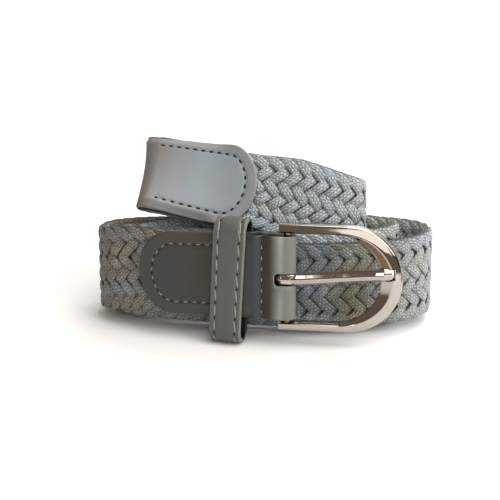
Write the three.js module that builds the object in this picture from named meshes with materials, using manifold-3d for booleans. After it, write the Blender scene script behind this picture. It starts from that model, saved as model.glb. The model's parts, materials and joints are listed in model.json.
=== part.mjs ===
// A braided elastic belt, unfastened and rolled up, standing on its lower edge with the
// buckle in front and the leather-covered free end lying on top. Millimetres, +Z up,
// the viewer's side is -Y. The belt is first laid out in its own frame, where every
// coil stands upright, and is then tipped until it rests on the floor.

import * as THREE from "three";
import { mergeVertices } from "three/addons/utils/BufferGeometryUtils.js";
import Module from "manifold-3d";

const wasm = await Module();
wasm.setup();

// Driving dimensions
const STRAP = { width: 35, thickness: 4.4, corner: 1.7 };
const LEATHER = 1.5; // one leaf of the leather ends
const LEAF_GAP = 0.4; // between the strap and a leaf
const LEAF_HALF_GAP = STRAP.thickness / 2 + LEAF_GAP; // strap centre to a leaf's inner face
const TAB = { foldBack: 0.6, uEnd: 60.5, strapStart: 12, slotEnd: 5.2, slotHeight: 5.8 };
const TIP = { length: 43 };
const U_END = { length: 13.5, bluntness: 1, from: 9, steps: 7 }; // a leaf's rounded end
const LEAF_STEP = 4; // between a leaf's straight sections
const FACE_PARTS = [0.5, 0, -0.5]; // points between the edges of a wide face
const FOLD_STEPS = 8;
const KEEPER = {
  at: 23.6,
  width: 13.4,
  wall: 1.8,
  above: 6.4, // past the strap's upper edge
  below: 11.6, // past its lower edge
  loose: 0.35,
  slant: 3, // degrees, its upper end nearer to the buckle
};
const FRAME = {
  outerRadius: 22.4, // the round end, outside
  outerCentre: 24.1, // from the bar's axis
  innerRadius: 18.4,
  innerCentre: 19.5,
  armStart: -3.4, // square-cut arm ends, past the bar
  armRidge: 0.26, // where the ridge runs, as a share of the way across
  endRidge: 0.56,
};
// The frame's section from its inner to its outer side, y away from the viewer. Up to
// the ridge, across is a share of the way to it.
const FRAME_SECTION = {
  inside: [
    { across: 0, y: 1.6 },
    { across: 0, y: -0.9 },
    { across: 0.25, y: -1.35 },
    { across: 1, y: -2.4 },
  ],
  outside: [
    { across: 0.96, y: -1.3 },
    { across: 1, y: -0.7 },
    { across: 1, y: 1.6 },
  ],
};
const BAR_RADIUS = 1.6;
const PRONG = {
  eye: { left: 4.6, right: 3.1, thick: 3.05, squareness: 2.4 }, // from the bar's axis
  eyeHole: 1.9,
  eyeEdge: 0.5, // bevel of the eye's rims
  width: 5,
  start: 2.9,
  length: 43.2,
  drop: 0.5, // below the strap's middle line at the bar
  lift: 5.2, // degrees upwards from there
  seat: 0.4, // clearance in the frame's notch
};
// The prong's shaft from the bar outwards: how far it lies in front of the bar's axis.
const PRONG_SHAFT = [
  { x: 0, front: 1.55, halfWidth: 2.5, halfThick: 1.5 },
  { x: 9, front: 1.5, halfWidth: 2.5, halfThick: 1.55 },
  { x: 22, front: 1.5, halfWidth: 2.5, halfThick: 1.6 },
  { x: 33, front: 1.75, halfWidth: 2.4, halfThick: 1.6 },
  { x: 41.6, front: 1.85, halfWidth: 2.3, halfThick: 1.6 },
  { x: 42.9, front: 1.8, halfWidth: 1.9, halfThick: 1.3 },
  { x: 43.2, front: 1.75, halfWidth: 1.4, halfThick: 0.9 },
];

// The strap's lower edge from the buckle's bar to the free end, seen from above.
// heading: direction of travel in degrees, 180 = to the left; lift: height of the lower
// edge; lean: how far the strap's upper edge tips to the right of travel, in degrees,
// which is away from the viewer where it travels left.
const ROUTE = [
  { at: "bar", x: 15.2, y: 0, heading: 172, lift: 4.6, lean: 0 },
  { at: "keeper", x: -8.3, y: 5.4, heading: 162, lift: 4.6, lean: 0 },
  { at: "tab middle", x: -27, y: 10, heading: 170, lift: 4.5, lean: 0 },
  { at: "tab end", x: -44, y: 15, heading: 152, lift: 4, lean: 0 },
  { at: "left 1", x: -62.3, y: 33, heading: 90, lift: 0.4, lean: 0 },
  { at: "back 1", x: 6, y: 54.1, heading: 0, lift: -1, lean: 0 },
  { at: "right 1", x: 75.4, y: 32, heading: -90, lift: 0, lean: 0 },
  { at: "front right", x: 50, y: 11, heading: -174, lift: -1.2, lean: 0 },
  { at: "front 2", x: 26, y: 9.8, heading: 180, lift: -1.8, lean: 0 },
  { at: "behind keeper", x: -8, y: 14.85, heading: 168, lift: -2.2, lean: 0 },
  { at: "left 2", x: -55.3, y: 33.6, heading: 90, lift: -0.8, lean: 0 },
  { at: "back 2", x: 6, y: 47.7, heading: 0, lift: 0.2, lean: 0 },
  { at: "right 2", x: 61, y: 31, heading: -90, lift: 2.4, lean: 0 },
  { at: "front 3", x: 10, y: 18.6, heading: 169, lift: 0.8, lean: 0 },
  { at: "left 3", x: -47.4, y: 34, heading: 90, lift: 0.4, lean: 0 },
  { at: "back 3", x: 0, y: 41.6, heading: 0, lift: 6, lean: 0 },
  { at: "right 3", x: 47.5, y: 33, heading: -90, lift: 18.5, lean: 0 },
  { at: "front 4", x: 15, y: 25.5, heading: 179, lift: 30.2, lean: 7 },
  { at: "tip root", x: 3, y: 26.2, heading: 176, lift: 33.4, lean: 14.5 },
  { at: "tip middle", x: -22, y: 29.2, heading: 175, lift: 38, lean: 31 },
  { at: "tip end", x: -48.8, y: 31, heading: 185, lift: 44, lean: 46.5 },
];
const STEP = 1; // spacing of the worked-out centre line
const BAND_STEP = { turn: 11, run: 5 }; // the most between two sections, degrees and mm
const ROUND_PULL = 0.657; // makes a quarter turn between two rows a quarter of an ellipse
const FULLNESS = 0.4; // makes the ends of a flat coil rounder than an ellipse's

const radians = THREE.MathUtils.degToRad;

// A cubic between two rows that leaves and arrives along their headings.
function hermite(a, b, u) {
  const chord = new THREE.Vector2(b.x - a.x, b.y - a.y);
  const turn = Math.abs(((b.heading - a.heading + 540) % 360) - 180) / 90;
  const tangent = (row) => {
    const d = new THREE.Vector2(Math.cos(radians(row.heading)), Math.sin(radians(row.heading)));
    const along = Math.abs(chord.dot(d));
    const full = FULLNESS * turn * (chord.length() - along);
    return d.multiplyScalar(along * (1 + ROUND_PULL * turn) + full);
  };
  const [t0, t1] = [tangent(a), tangent(b)];
  const h = [2 * u ** 3 - 3 * u ** 2 + 1, u ** 3 - 2 * u ** 2 + u];
  const k = [3 * u ** 2 - 2 * u ** 3, u ** 3 - u ** 2];
  return new THREE.Vector2(
    h[0] * a.x + h[1] * t0.x + k[0] * b.x + k[1] * t1.x,
    h[0] * a.y + h[1] * t0.y + k[0] * b.y + k[1] * t1.y,
  );
}

// A smooth curve through (x, y) pairs that never overshoots them.
function smoothThrough(x, y) {
  const slope = x.slice(1).map((v, i) => (y[i + 1] - y[i]) / (v - x[i]));
  const m = x.map((_, i) => {
    if (i === 0) return slope[0];
    if (i === x.length - 1) return slope[i - 1];
    return slope[i - 1] * slope[i] > 0 ? 2 / (1 / slope[i - 1] + 1 / slope[i]) : 0;
  });
  return (at) => {
    let i = 0;
    while (i < x.length - 2 && at > x[i + 1]) i++;
    const h = x[i + 1] - x[i];
    const t = (at - x[i]) / h;
    return (
      (2 * t ** 3 - 3 * t ** 2 + 1) * y[i] +
      (t ** 3 - 2 * t ** 2 + t) * h * m[i] +
      (3 * t ** 2 - 2 * t ** 3) * y[i + 1] +
      (t ** 3 - t ** 2) * h * m[i + 1]
    );
  };
}

// The plan of the strap's lower edge as evenly spaced stations.
function layRoute(rows) {
  const fine = 60;
  const plan = [];
  const rowLength = [0];
  for (let i = 0; i + 1 < rows.length; i++)
    for (let k = i ? 1 : 0; k <= fine; k++) plan.push(hermite(rows[i], rows[i + 1], k / fine));
  const run = [0];
  for (let i = 1; i < plan.length; i++) {
    run.push(run[i - 1] + plan[i].distanceTo(plan[i - 1]));
    if (i % fine === 0) rowLength.push(run[i]);
  }
  const total = run[run.length - 1];
  const count = Math.round(total / STEP);
  const points = [];
  let j = 0;
  for (let i = 0; i <= count; i++) {
    const s = (total * i) / count;
    while (j < run.length - 2 && run[j + 1] < s) j++;
    points.push(plan[j].clone().lerp(plan[j + 1], (s - run[j]) / (run[j + 1] - run[j])));
  }
  return {
    points,
    total,
    spacing: total / count,
    lift: smoothThrough(rowLength, rows.map((r) => r.lift)),
    lean: smoothThrough(rowLength, rows.map((r) => r.lean)),
  };
}

const route = layRoute(ROUTE);

// The plan at a distance from the bar; past either end it runs on straight.
function planAt(s) {
  const last = route.points.length - 1;
  const f = THREE.MathUtils.clamp(s / route.spacing, 0, last);
  const tangent = (i) => {
    const before = route.points[Math.max(i - 1, 0)];
    const after = route.points[Math.min(i + 1, last)];
    return after.clone().sub(before).normalize();
  };
  const i = Math.min(Math.floor(f), last - 1);
  const along = tangent(i).lerp(tangent(i + 1), f - i).normalize();
  const point = route.points[i].clone().lerp(route.points[i + 1], f - i);
  return { point: point.addScaledVector(along, s - f * route.spacing), along };
}

// A point given along the strap, across it from its middle (upwards), and out of its
// outer face. The strap is laid onto the upright wall over its plan without stretching,
// so where it climbs, its upper edge lies further back along the plan.
function place(s, v, w) {
  const on = THREE.MathUtils.clamp(s, 0, route.total);
  const climb = Math.atan((route.lift(on + STEP) - route.lift(on - STEP)) / (2 * STEP));
  const lean = radians(route.lean(on));
  const height = STRAP.width / 2 + v;
  const { point, along } = planAt(s - height * Math.sin(climb) * Math.cos(lean));
  const inward = height * Math.sin(lean) - w * Math.cos(lean);
  return new THREE.Vector3(
    point.x + along.y * inward,
    point.y - along.x * inward,
    route.lift(on) + height * Math.cos(climb) * Math.cos(lean) + w * Math.sin(lean),
  );
}

// Meshes from rings of points

function signedVolume(position, index) {
  const [a, b, c] = [0, 1, 2].map(() => new THREE.Vector3());
  let sum = 0;
  for (let i = 0; i < index.length; i += 3) {
    a.fromBufferAttribute(position, index[i]);
    b.fromBufferAttribute(position, index[i + 1]);
    c.fromBufferAttribute(position, index[i + 2]);
    sum += a.dot(b.cross(c));
  }
  return sum / 6;
}

// A solid through rings of points, with flat ends, or joined back onto its first ring.
function loft(rings, closed = false) {
  const n = rings[0].length;
  const index = [];
  const spans = closed ? rings.length : rings.length - 1;
  for (let i = 0; i < spans; i++) {
    const next = ((i + 1) % rings.length) * n;
    for (let k = 0; k < n; k++) {
      const [a, b] = [i * n + k, i * n + ((k + 1) % n)];
      const [c, d] = [next + k, next + ((k + 1) % n)];
      index.push(a, b, d, a, d, c);
    }
  }
  if (!closed) {
    const end = (rings.length - 1) * n;
    for (let k = 1; k + 1 < n; k++) {
      index.push(0, k + 1, k);
      index.push(end, end + k, end + k + 1);
    }
  }
  const geometry = new THREE.BufferGeometry().setFromPoints(rings.flat());
  const turned = signedVolume(geometry.attributes.position, index) < 0;
  return geometry.setIndex(turned ? index.reverse() : index);
}

// Joining and cutting

function toSolid(geometry) {
  const bare = geometry.clone().deleteAttribute("normal").deleteAttribute("uv");
  const merged = mergeVertices(bare, 1e-3);
  return new wasm.Manifold(
    new wasm.Mesh({
      numProp: 3,
      vertProperties: new Float32Array(merged.attributes.position.array),
      triVerts: new Uint32Array(merged.index.array),
    }),
  );
}

function toGeometry(solid) {
  const { vertProperties, triVerts } = solid.getMesh();
  return new THREE.BufferGeometry()
    .setAttribute("position", new THREE.BufferAttribute(vertProperties, 3))
    .setIndex(new THREE.BufferAttribute(triVerts, 1));
}

const joined = (a, b) => toGeometry(toSolid(a).add(toSolid(b)));
const cut = (a, b) => toGeometry(toSolid(a).subtract(toSolid(b)));

// The braided strap

const strapEnd = route.total - LEATHER - LEAF_HALF_GAP; // at the centre of the tip's fold

// A flat strap's section with rounded edges, and points on its faces for the twist.
function strapSection(s) {
  const halfWidth = STRAP.width / 2 - STRAP.corner;
  const halfThick = STRAP.thickness / 2 - STRAP.corner;
  const ring = [];
  for (const quarter of [0, 1, 2, 3]) {
    const middle = ((quarter + 0.5) * Math.PI) / 2;
    const v = Math.sign(Math.cos(middle)) * halfWidth;
    const w = Math.sign(Math.sin(middle)) * halfThick;
    for (const step of [0, 0.5, 1]) {
      const angle = ((quarter + step) * Math.PI) / 2;
      ring.push([v + STRAP.corner * Math.cos(angle), w + STRAP.corner * Math.sin(angle)]);
    }
    if (quarter % 2 === 0)
      for (const part of FACE_PARTS) ring.push([v * part, Math.sign(w) * (STRAP.thickness / 2)]);
  }
  return ring.map(([v, w]) => place(s, v, w));
}

// The direction in which the strap's lower or upper edge runs.
function edgeDirection(s, side) {
  const v = (side * STRAP.width) / 2;
  return place(s + STEP / 2, v, 0).sub(place(s - STEP / 2, v, 0));
}

// Stations close together where either edge bends, and further apart on the straight.
function strapStations(from, to) {
  const turned = (a, b) =>
    Math.max(...[-1, 1].map((side) => edgeDirection(a, side).angleTo(edgeDirection(b, side))));
  const picked = [from];
  for (let s = from + STEP; s < to - STEP; s += STEP) {
    const last = picked[picked.length - 1];
    if (turned(s, last) > radians(BAND_STEP.turn) || s - last > BAND_STEP.run) picked.push(s);
  }
  return [...picked, to];
}

const braidedBand = () => loft(strapStations(TAB.strapStart, strapEnd).map(strapSection));

// Leather ends: one sheet folded over, with a rounded end on each leaf

// Half the width of a leaf at stations from its rounded end to the fold.
function leafOutline(length) {
  const rounded = Array.from({ length: U_END.steps + 1 }, (_, k) => {
    const angle = radians(U_END.from + ((90 - U_END.from) * k) / U_END.steps);
    return {
      s: length - U_END.length * (1 - Math.cos(angle)),
      half: (STRAP.width / 2) * Math.sin(angle) ** U_END.bluntness,
    };
  });
  const straight = length - U_END.length;
  const runs = Math.round(straight / LEAF_STEP);
  for (let k = 1; k < runs; k++)
    rounded.push({ s: straight * (1 - k / runs), half: STRAP.width / 2 });
  return rounded;
}

// A sheet folded over so that its two leaves lie on the strap's faces. fold is where the
// fold's centre lies along the strap; towards is 1 when the leaves run on along the
// strap from there, and -1 when they run back.
function foldedSheet({ fold, towards, length }) {
  const middle = LEAF_HALF_GAP + LEATHER / 2;
  const leaf = (face) =>
    leafOutline(length).map((p) => ({ ...p, w: face * middle, ns: 0, nw: face }));
  const bend = Array.from({ length: FOLD_STEPS + 1 }, (_, k) => {
    const angle = (Math.PI * k) / FOLD_STEPS;
    const [ns, nw] = [-Math.sin(angle), Math.cos(angle)];
    return { s: middle * ns, w: middle * nw, ns, nw, half: STRAP.width / 2 };
  });
  const across = [1, ...FACE_PARTS, -1];
  const section = [
    ...across.map((part) => [part, LEATHER / 2]),
    ...across.map((part) => [-part, -LEATHER / 2]),
  ];
  return loft(
    [...leaf(1), ...bend, ...leaf(-1).reverse()].map((r) =>
      section.map(([part, off]) =>
        place(fold + towards * (r.s + r.ns * off), part * r.half, r.w + r.nw * off),
      ),
    ),
  );
}

function buckleTab() {
  const sheet = foldedSheet({
    fold: TAB.foldBack,
    towards: 1,
    length: TAB.uEnd - TAB.foldBack,
  });
  const [low, high] = [-1, 1].map((side) => (side * TAB.slotHeight) / 2 - PRONG.drop);
  const deep = LEAF_HALF_GAP + LEATHER + 2;
  const slot = loft(
    [-deep, TAB.slotEnd].map((s) => [
      place(s, low, -deep),
      place(s, high, -deep),
      place(s, high, deep),
      place(s, low, deep),
    ]),
  );
  return cut(sheet, slot);
}

function tipTab() {
  return foldedSheet({ fold: strapEnd, towards: -1, length: TIP.length });
}

// The loose leather loop round the buckle end
function keeperLoop() {
  const radius = LEAF_HALF_GAP + LEATHER + KEEPER.loose + KEEPER.wall / 2;
  const top = STRAP.width / 2 + KEEPER.above - KEEPER.wall / 2 - radius;
  const bottom = -STRAP.width / 2 - KEEPER.below + KEEPER.wall / 2 + radius;
  const path = [];
  const bend = (centre, start) => {
    for (let k = 0; k <= 8; k++) {
      const angle = start + (Math.PI * k) / 8;
      path.push({ v: centre, nv: Math.sin(angle), nw: Math.cos(angle) });
    }
  };
  bend(top, 0);
  bend(bottom, Math.PI);
  const half = KEEPER.width / 2;
  const slant = Math.tan(radians(KEEPER.slant));
  const ring = path.map((p) =>
    [
      [-half, KEEPER.wall / 2],
      [half, KEEPER.wall / 2],
      [half, -KEEPER.wall / 2],
      [-half, -KEEPER.wall / 2],
    ].map(([ds, off]) => {
      const v = p.v + p.nv * (radius + off);
      return place(KEEPER.at + ds - v * slant, v, p.nw * (radius + off));
    }),
  );
  return loft(ring, true);
}

// The buckle, in its own frame: x to the right from the bar, y away from the viewer,
// z up along the bar from the strap's middle

const arc = (centre, radius, angle) => ({
  x: centre + radius * Math.cos(angle),
  z: radius * Math.sin(angle),
});

// Pairs of points on the frame's inner and outer outlines, from the upper arm round, with
// the share of the way across where the ridge runs.
function frameOutline() {
  const pairs = [];
  const arm = (side) => {
    const part = [];
    for (const t of [0, 0.5])
      part.push({
        ridge: FRAME.armRidge,
        inner: { x: FRAME.armStart + (FRAME.innerCentre - FRAME.armStart) * t, z: side * FRAME.innerRadius },
        outer: { x: FRAME.armStart + (FRAME.outerCentre - FRAME.armStart) * t, z: side * FRAME.outerRadius },
      });
    return side > 0 ? part : part.reverse();
  };
  pairs.push(...arm(1));
  const steps = 22;
  for (let k = 0; k <= steps; k++) {
    const angle = Math.PI / 2 - (Math.PI * k) / steps;
    pairs.push({
      ridge: FRAME.armRidge + (FRAME.endRidge - FRAME.armRidge) * Math.cos(angle) ** 2,
      inner: arc(FRAME.innerCentre, FRAME.innerRadius, angle),
      outer: arc(FRAME.outerCentre, FRAME.outerRadius, angle),
    });
  }
  pairs.push(...arm(-1));
  return pairs;
}

// Rings of the prong's shaft through rows, made fuller by a clearance to cut the frame.
function shaftRings(clearance, rows) {
  const sides = 12;
  const rise = Math.tan(radians(PRONG.lift));
  return rows.map((r) =>
    Array.from({ length: sides }, (_, k) => {
      const angle = (2 * Math.PI * (k + 0.5)) / sides;
      return new THREE.Vector3(
        r.x,
        -r.front + (r.halfThick + clearance) * Math.cos(angle),
        (r.x - PRONG.start) * rise - PRONG.drop + (r.halfWidth + clearance) * Math.sin(angle),
      );
    }),
  );
}

function buckleFrame() {
  const horseshoe = loft(
    frameOutline().map(({ ridge, inner, outer }) =>
      [
        ...FRAME_SECTION.inside.map((p) => ({ ...p, across: p.across * ridge })),
        ...FRAME_SECTION.outside,
      ].map(
        (p) =>
          new THREE.Vector3(
            inner.x + (outer.x - inner.x) * p.across,
            p.y,
            inner.z + (outer.z - inner.z) * p.across,
          ),
      ),
    ),
  );
  const barLength = 2 * FRAME.innerRadius + 2;
  const bar = new THREE.CylinderGeometry(BAR_RADIUS, BAR_RADIUS, barLength, 20);
  bar.rotateX(Math.PI / 2);
  const seat = PRONG_SHAFT[4];
  const notch = loft(
    shaftRings(PRONG.seat, [
      { ...seat, x: PRONG_SHAFT[3].x },
      { ...seat, x: PRONG.length + PRONG.seat },
    ]),
  );
  return cut(joined(horseshoe, bar), notch);
}

// The prong's eye is a rounded block round the bar, longer on the side away from the
// frame's round end. The hole for the bar is cut through eye and shaft together.
function prong() {
  const half = PRONG.width / 2;
  const { left, right, thick, squareness } = PRONG.eye;
  const sides = 28;
  const rounded = (value) => Math.sign(value) * Math.abs(value) ** (2 / squareness);
  const outline = (inset, z) =>
    Array.from({ length: sides }, (_, k) => {
      const angle = (2 * Math.PI * (k + 0.5)) / sides;
      const [x, y] = [rounded(Math.cos(angle)), rounded(Math.sin(angle))];
      return new THREE.Vector3(
        x * ((x < 0 ? left : right) - inset),
        y * (thick - inset),
        z - PRONG.drop,
      );
    });
  const eye = loft([
    outline(PRONG.eyeEdge, -half),
    outline(0, PRONG.eyeEdge - half),
    outline(0, half - PRONG.eyeEdge),
    outline(PRONG.eyeEdge, half),
  ]);
  const hole = new THREE.CylinderGeometry(PRONG.eyeHole, PRONG.eyeHole, 2 * PRONG.width, sides);
  hole.rotateX(Math.PI / 2);
  return cut(joined(eye, loft(shaftRings(0, PRONG_SHAFT))), hole);
}

// Finishes
const braidCord = { color: 0x9a9ea0, roughness: 0.85, metalness: 0 };
const tabLeather = { color: 0x6d6f70, roughness: 0.5, metalness: 0 };
const tipLeather = { color: 0x8f979d, roughness: 0.45, metalness: 0 };
const nickel = { color: 0xd8cfc4, roughness: 0.15, metalness: 1 };

function piece(name, geometry, finish) {
  const mesh = new THREE.Mesh(geometry, new THREE.MeshStandardMaterial(finish));
  mesh.name = name;
  geometry.computeVertexNormals();
  return mesh;
}

// The assembly

const strapPieces = [
  piece("braided_band", braidedBand(), braidCord),
  piece("buckle_tab", buckleTab(), tabLeather),
  piece("tip_tab", tipTab(), tipLeather),
  piece("keeper_loop", keeperLoop(), tabLeather),
];
const buckle = new THREE.Group();
buckle.add(piece("buckle_frame", buckleFrame(), nickel), piece("prong", prong(), nickel));
buckle.position.copy(place(0, 0, 0));
buckle.rotation.z = planAt(0).along.angle() - Math.PI;

const belt = new THREE.Group();
belt.add(...strapPieces, buckle);

// Tips the belt until the loose loop in front and the strap behind stand equally low.
function restingTilt() {
  const behind = ROUTE.find((r) => r.at === "back 1").y - STRAP.thickness;
  const lowest = (mesh, tilt, keep) => {
    const p = mesh.geometry.attributes.position;
    let low = Infinity;
    for (let i = 0; i < p.count; i++)
      if (keep(p.getY(i))) low = Math.min(low, p.getZ(i) * Math.cos(tilt) - p.getY(i) * Math.sin(tilt));
    return low;
  };
  let [low, high] = [0, radians(20)];
  for (let i = 0; i < 40; i++) {
    const tilt = (low + high) / 2;
    const front = lowest(strapPieces[3], tilt, () => true);
    const back = lowest(strapPieces[0], tilt, (y) => y > behind);
    if (front < back) low = tilt;
    else high = tilt;
  }
  return low;
}

belt.rotation.x = -restingTilt();
belt.updateMatrixWorld(true);
const box = new THREE.Box3().setFromObject(belt, true);
belt.position.set(-(box.min.x + box.max.x) / 2, -(box.min.y + box.max.y) / 2, -box.min.z);

const object = new THREE.Group();
object.add(belt);
export default object;
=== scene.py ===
# %% [markdown]
# # A rolled-up elastic belt
#
# A stretch belt is a flat braid of elastic cords with a leather end on either side. One
# leather end holds the buckle and wears a loose loop, the other is the tip that goes
# through the trouser loops. This one is rolled up and stands on its lower edge, with the
# buckle in front and the tip lying on top.
#
# The packed CAD model already has every piece at its real size and place. The cells
# below dress it: real cords instead of a plain band, soft leather with stitches and
# needle holes, and polished metal.

# %% Load the packed belt
import json
import math

import bmesh
import bpy
import numpy as np
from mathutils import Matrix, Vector


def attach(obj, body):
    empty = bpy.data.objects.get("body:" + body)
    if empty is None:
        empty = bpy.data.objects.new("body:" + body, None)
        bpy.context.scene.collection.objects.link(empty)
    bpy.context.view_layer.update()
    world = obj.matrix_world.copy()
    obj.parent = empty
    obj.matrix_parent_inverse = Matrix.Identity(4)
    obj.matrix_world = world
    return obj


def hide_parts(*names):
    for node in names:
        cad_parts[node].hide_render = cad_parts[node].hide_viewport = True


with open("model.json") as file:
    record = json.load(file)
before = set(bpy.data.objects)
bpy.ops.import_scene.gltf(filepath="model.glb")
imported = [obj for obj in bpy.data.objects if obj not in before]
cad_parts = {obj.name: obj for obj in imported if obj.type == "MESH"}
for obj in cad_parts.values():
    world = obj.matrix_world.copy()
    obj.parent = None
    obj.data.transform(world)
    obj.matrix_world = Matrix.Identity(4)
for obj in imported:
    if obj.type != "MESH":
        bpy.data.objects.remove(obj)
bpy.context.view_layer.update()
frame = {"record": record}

# %% [markdown]
# ## The way the strap runs
#
# Every soft piece of a belt follows the strap. So one table says where the strap's lower
# edge goes, and one function turns a place on the strap into a place in the room: how
# far along it from the buckle's bar, how far above its middle line, and how far out of
# its outer face. The table is in millimetres and is the same one that the CAD model was
# made from, so the dressing fits over it without any measuring by eye.

# %% The strap's table
ROUTE = np.array([
    # x, y, heading in degrees, height of the lower edge, lean in degrees
    (15.2, 0, 172, 4.6, 0),  # bar
    (-8.3, 5.4, 162, 4.6, 0),  # loose loop
    (-27, 10, 170, 4.5, 0),  # middle of the buckle tab
    (-44, 15, 152, 4, 0),  # its end
    (-62.3, 33, 90, 0.4, 0),  # first left bend
    (6, 54.1, 0, -1, 0),
    (75.4, 32, -90, 0, 0),  # first right bend
    (50, 11, -174, -1.2, 0),
    (26, 9.8, 180, -1.8, 0),  # behind the buckle
    (-8, 14.85, 168, -2.2, 0),
    (-55.3, 33.6, 90, -0.8, 0),  # second left bend
    (6, 47.7, 0, 0.2, 0),
    (61, 31, -90, 2.4, 0),  # second right bend
    (10, 18.6, 169, 0.8, 0),
    (-47.4, 34, 90, 0.4, 0),  # third left bend
    (0, 41.6, 0, 6, 0),
    (47.5, 33, -90, 18.5, 0),  # third right bend, rising
    (15, 25.5, 179, 30.2, 7),
    (3, 26.2, 176, 33.4, 14.5),  # root of the tip
    (-22, 29.2, 175, 38, 31),
    (-48.8, 31, 185, 44, 46.5),  # free end
])
STRAP_WIDTH, STRAP_THICKNESS = 35.0, 4.4
HALF_WIDTH = STRAP_WIDTH / 2
LEATHER, LEAF_GAP = 1.5, 0.4  # a leaf's thickness, and the glue between it and the strap
LEAF_HALF_GAP = STRAP_THICKNESS / 2 + LEAF_GAP
ROUND_PULL, FULLNESS = 0.657, 0.4  # how round a bend is, and how full one that goes far sideways
POINTS_BETWEEN = 60  # two rows of the table
MM = 0.001


def cubic(a, b, pull_a, pull_b, t):
    """From a to b as t goes from 0 to 1, leaving with pull_a and arriving with pull_b."""
    start = (2 * t**3 - 3 * t**2 + 1) * a + (t**3 - 2 * t**2 + t) * pull_a
    return start + (3 * t**2 - 2 * t**3) * b + (t**3 - t**2) * pull_b


def stretch_between(a, b, t):
    """Points of the plan between two rows of the table."""
    chord = b[:2] - a[:2]
    turn = abs((b[2] - a[2] + 540) % 360 - 180) / 90

    def pull(row):
        heading = np.array([math.cos(math.radians(row[2])), math.sin(math.radians(row[2]))])
        along = abs(chord @ heading)
        sideways = math.hypot(*chord) - along
        return heading * (along * (1 + ROUND_PULL * turn) + FULLNESS * turn * sideways)

    return cubic(a[:2], b[:2], pull(a), pull(b), t[:, None])


plan = [ROUTE[0, :2]]
row_length = [0.0]
for a, b in zip(ROUTE[:-1], ROUTE[1:]):
    part = stretch_between(a, b, np.linspace(0, 1, POINTS_BETWEEN + 1)[1:])
    steps = np.linalg.norm(np.diff(np.vstack([plan[-1], part]), axis=0), axis=1)
    row_length.append(row_length[-1] + steps.sum())
    plan.extend(part)
plan = np.array(plan)
run = np.concatenate([[0], np.cumsum(np.linalg.norm(np.diff(plan, axis=0), axis=1))])
STRAP_LENGTH = run[-1]
TIP_FOLD = STRAP_LENGTH - LEATHER - LEAF_HALF_GAP  # the tip's leather folds round the end here
STATIONS = round(STRAP_LENGTH)
SPACING = STRAP_LENGTH / STATIONS
even = np.linspace(0, STRAP_LENGTH, STATIONS + 1)
plan = np.stack([np.interp(even, run, plan[:, k]) for k in (0, 1)], axis=1)
print(f"the strap is {STRAP_LENGTH:.0f} mm long from the bar to its free end")

# %% [markdown]
# The heights and leans of the table have to blend without overshooting, or the strap
# would dip through the floor between two rows. A cubic whose slope is the harmonic mean
# of its neighbours does that.

# %% From the strap to the room
def smooth_through(x, y):
    """A curve through (x, y) that never goes past them."""
    x, y = np.array(x), np.array(y)
    slope = np.diff(y) / np.diff(x)
    m = np.concatenate([[slope[0]], np.zeros(len(slope) - 1), [slope[-1]]])
    same = slope[:-1] * slope[1:] > 0
    m[1:-1][same] = 2 / (1 / slope[:-1][same] + 1 / slope[1:][same])

    def at(s):
        i = np.clip(np.searchsorted(x, s) - 1, 0, len(slope) - 1)
        h = x[i + 1] - x[i]
        return cubic(y[i], y[i + 1], h * m[i], h * m[i + 1], (s - x[i]) / h)

    return at


lift_at = smooth_through(row_length, ROUTE[:, 3])
lean_at = smooth_through(row_length, ROUTE[:, 4])
index = np.arange(len(plan))
headings = plan[np.minimum(index + 1, len(plan) - 1)] - plan[np.maximum(index - 1, 0)]
headings /= np.linalg.norm(headings, axis=1)[:, None]

# The packed record's hinge gives the roll's tilt and its place on the floor.
hinge = next(j for j in frame["record"]["behaviour"]["joints"] if j["name"] == "frame_swing")
TILT = math.atan2(-hinge["axis"][1], -hinge["axis"][2])
LEAN_BACK = np.array([
    [1, 0, 0],
    [0, math.cos(TILT), math.sin(TILT)],
    [0, -math.sin(TILT), math.cos(TILT)],
])
BAR = np.array([ROUTE[0, 0], ROUTE[0, 1], ROUTE[0, 3] + HALF_WIDTH])
SHIFT = np.array(hinge["pos_m"]) / MM - LEAN_BACK @ BAR


def to_room(points):
    """From the roll's own upright frame in millimetres to the room in metres."""
    return (np.asarray(points) @ LEAN_BACK.T + SHIFT) * MM


def place(s, v, w):
    """s along the strap, v above its middle line, w out of its outer face, all in mm."""
    s, v, w = np.broadcast_arrays(*(np.asarray(x, float) for x in (s, v, w)))
    on = np.clip(s, 0, STRAP_LENGTH)
    climb = np.arctan((lift_at(on + 1) - lift_at(on - 1)) / 2)
    lean = np.radians(lean_at(on))
    height = HALF_WIDTH + v
    back = s - height * np.sin(climb) * np.cos(lean)
    f = np.clip(back / SPACING, 0, STATIONS)
    i = np.minimum(f.astype(int), STATIONS - 1)
    t = (f - i)[..., None]
    along = headings[i] * (1 - t) + headings[i + 1] * t
    along /= np.linalg.norm(along, axis=-1)[..., None]
    point = plan[i] * (1 - t) + plan[i + 1] * t + along * (back - f * SPACING)[..., None]
    inward = height * np.sin(lean) - w * np.cos(lean)
    x = point[..., 0] + along[..., 1] * inward
    y = point[..., 1] - along[..., 0] * inward
    z = lift_at(on) + height * np.cos(climb) * np.cos(lean) + w * np.sin(lean)
    return to_room(np.stack([x, y, z], axis=-1))


print(f"the roll leans back {math.degrees(TILT):.1f} degrees, bar at", np.round(place(0, 0, 0), 4))

# %% [markdown]
# ## The camera
#
# The photograph was taken with a long lens from a little above. The camera's place was
# fitted in the roll's own frame, so it is carried to the room by the same function.

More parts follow.
